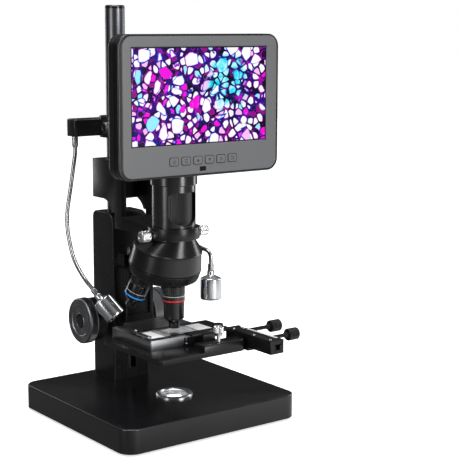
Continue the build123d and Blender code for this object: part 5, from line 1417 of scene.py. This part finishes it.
@dataclass
class Lamps(Assembly):
    """The lamp bar on the pole with its two gooseneck lamps."""

    neck_radius: float = 2.1
    winding: float = 1.2
    ridge: float = 0.05
    bend: float = 110.0
    chip_circle: float = 4.86
    chip_height: float = 21.6

    def neck(self, route: NeckRoute) -> Piece:
        """Makes the wound tube and its two ferrules as one piece."""
        corners = route.corners()
        path = filleted_path(corners, self.bend, 0.5)
        tube = wound_tube(f"neck_tube_{route.name}", path, self.neck_radius, self.winding, self.ridge)
        collar = [(0, 20.5), (3.1, 20.5), (3.1, 1.6), (2.7, 0.3), (2.5, 0.0), (0, 0.0)]
        sleeve = [(0, 0.0), (2.6, 0.0), (3.1, 0.8), (3.1, 7.0), (0, 7.0)]
        top = turned(f"neck_top_{route.name}", collar, Seat((*route.points[0][:2], 267.8)), 40, 0.25)
        seat = Seat(corners[-1] - 2.0 * route.way(), route.way())
        foot = turned(f"neck_foot_{route.name}", sleeve, seat, 40, 0.25)
        return joined(f"gooseneck_{route.name}_wound", [tube, top, foot])

    def chips(self, name: str, seat: Seat) -> Piece:
        """Makes the five domed light emitters on a circle in the head."""
        profile = [(0, 1.6), (1.4, 1.4), (2.2, 0.7), (2.3, 0.0), (0, 0.0)]
        r, height = self.chip_circle, self.chip_height
        spots = [seat.world(np.array((r * math.cos(t), r * math.sin(t), height))) for t in circle(5)]
        return joined(name, [turned("chip", profile, Seat(spot, seat.way), 20, 0.15) for spot in spots])

    def lamp(self, route: NeckRoute) -> None:
        """Makes the neck, the head, its dome and the light emitters inside."""
        node, neck, body = f"lamp_{route.name}", f"gooseneck_{route.name}", f"{route.name}_lamp_neck"
        seat = Seat(route.lamp_back, route.way())
        head = [
            (0, -4.7), (3.5, -4.7), (3.9, -4.2), (3.9, 0.0), (5.0, 0.5), (10.2, 3.0), (10.8, 3.8),
            (10.8, 23.6), (10.3, 25.0), (8.9, 25.0), (8.5, 24.2), (8.2, 21.6), (0, 21.6),
        ]
        dome = [(8.6, 23.9), (8.4, 24.4), (6.6, 25.0), (3.5, 25.2), (0, 25.25), (0, 24.8), (3.5, 24.7),
                (6.4, 24.4), (8.6, 23.9)]
        for piece, finish, slot, *replaces in (
            (self.neck(route), NECK_CHROME, "chrome", neck),
            (turned(node + "_head", head, seat, 72, 0.3), LAMP_STEEL, "chrome", node),
            (turned(node + "_dome", dome, seat, 48), GLASS, "clear_glass"),
            (self.chips(node + "_emitters", seat), LED, "diffuser"),
        ):
            self.shop.hang(piece, finish, body, slot, *replaces)

    def build(self) -> None:
        """Dresses the bar, makes its screw and builds both lamps."""
        self.shop.dress(CAST_BLACK, "lamp_bar", bevel=0.3)
        profile = [(0, 0.4), (2.4, 0.4), (2.7, 0), (5.0, 0), (5.6, 0.6), (5.6, 7.2), (4.8, 8.0), (2.2, 8.0),
                   (2.2, 36.0), (0, 36.0)]
        knurl = Knurl(0.6, 7.2, 0.34, 0.3, 16, 0.4, 3.0)
        screw = turned("lamp_bar_screw_turned", profile, centre_seat("lamp_bar_screw")[0], 120, 0.2, knurl)
        self.shop.hang(screw, UPRIGHT_STEEL, "lamp_clamp", "chrome", "lamp_bar_screw")
        self.lamp(LEFT_NECK)
        self.lamp(RIGHT_NECK)


# -------- Studio --------
@dataclass(frozen=True)
class PaleFloor(Finish):
    """White to the camera, a soft grey and a patch of sheen to the metal."""

    sheen: Point = (0.05, 1.4)

    def wire(self, w: Wiring) -> Inputs:
        """Light that depends on the kind of ray and on the place."""
        shown, rays = w.shown()
        pale = w.blend(w.noise(w.place(), 3.0), (0.86, 0.86, 0.86), (0.9, 0.9, 0.9))
        seen = w.blend(shown, (0.3, 0.3, 0.3), pale)
        away = w.vector("LENGTH", w.place())
        front = w.spread(w.vector("DOT_PRODUCT", w.place(), (0.6, -0.8, 0.0)), 0.0, 0.4, self.sheen)
        mirrored = w.times(front, w.spread(away, 0.5, 1.5, (1.0, 0.1)))
        glow = w.times(shown, w.spread(away, 0.2, 1.6, (0.62, 1.0)))
        return {
            "Base Color": w.blend(rays["Is Glossy Ray"], seen, (0.07, 0.07, 0.07)),
            "Emission Color": (*WHITE, 1.0),
            "Emission Strength": w.plus(glow, w.times(rays["Is Glossy Ray"], mirrored)),
            "Roughness": 0.7,
        }


@dataclass
class Studio(Assembly):
    """Pale sweep, soft lights and the camera."""

    place: Point = (-0.69262145, -1.03222779, 0.39477226)
    right: Point = (0.79707808, -0.6038652, 0.00365397)
    up: Point = (0.09571285, 0.13230692, 0.98657687)
    ahead: Point = (0.59624289, 0.78602907, -0.1632566)
    lens: float = 98.785
    diffuse_glow: float = 0.3
    mirror_glow: Point = (0.03, 0.55)

    def camera(self) -> None:
        """Places the camera from its three directions."""
        data = bpy.data.cameras.new("camera")
        data.lens, data.sensor_width, data.clip_start = self.lens, 36.0, 0.05
        data.dof.use_dof = False
        holder = linked("camera", data)
        turn = Matrix((self.right, self.up, -Vector(self.ahead))).transposed().to_4x4()
        holder.matrix_world = Matrix.Translation(self.place) @ turn
        bpy.context.scene.camera = holder

    def light(self, name: str, place: Point, aim: float, size: Point, power: float) -> None:
        """Adds one soft rectangular light.

        Args:
            name: Name of the light.
            place: Where it stands, in metres.
            aim: Height of the point on the upright axis that it faces.
            size: Its two sides in metres.
            power: Power in watts.
        """
        data = bpy.data.lights.new(name, "AREA")
        data.shape, data.size, data.size_y, data.energy = "RECTANGLE", *size, power
        lamp = linked(name, data)
        lamp.location = place
        lamp.rotation_euler = (Vector((0, 0, aim)) - Vector(place)).to_track_quat("-Z", "Y").to_euler()

    def world(self) -> None:
        """White surroundings to the camera and glass, dimmer to dull faces."""
        world = bpy.data.worlds.new("surroundings")
        bpy.context.scene.world = world
        world.use_nodes = True
        w = Wiring(world.node_tree)
        shown, rays = w.shown()
        height = w.axes(w.add("ShaderNodeTexCoord").outputs["Generated"])["Z"]
        mirrored = w.times(rays["Is Glossy Ray"], w.spread(height, 0.25, 0.95, self.mirror_glow))
        dull = w.times(rays["Is Diffuse Ray"], self.diffuse_glow)
        strength = w.plus(shown, w.plus(mirrored, dull))
        w.fill(world.node_tree.nodes["Background"], {"Strength": strength, "Color": (*WHITE, 1.0)})

    def build(self) -> None:
        """Sets up the stage, its lights and the camera."""
        self.camera()
        corners = np.array(((-1, -1, 0), (1, -1, 0), (1, 1, 0), (-1, 1, 0))) * FLOOR_REACH
        floor = mesh_piece("floor", corners, [(0, 1, 2, 3)])
        self.shop.coat(floor, PaleFloor("pale floor"))
        self.world()
        self.light("left strip", (-1.25, -0.2, 0.5), 0.22, (0.3, 1.3), 9.0)
        self.light("front box", (0.25, -1.45, 0.4), 0.2, (0.4, 1.0), 18.0)
        self.light("right strip", (1.15, -0.05, 0.5), 0.25, (0.3, 1.2), 6.0)
        self.light("back strip", (-0.15, 1.3, 0.4), 0.25, (0.22, 1.0), 3.0)
        self.light("top", (-0.1, -0.1, 1.3), 0.2, (0.7, 0.7), 15.0)
        bpy.context.scene.view_settings.view_transform = "Standard"


def main() -> None:
    """Builds the studio and every sub-assembly."""
    logging.basicConfig(level=logging.INFO, format="%(name)s: %(message)s")
    shop = Workshop()
    for assembly in (Studio, Base, FocusDrive, Stage, SlideHolder, CameraHead, Nosepiece, Screen, Lamps):
        assembly(shop).build()


if __name__ == "__main__":
    main()
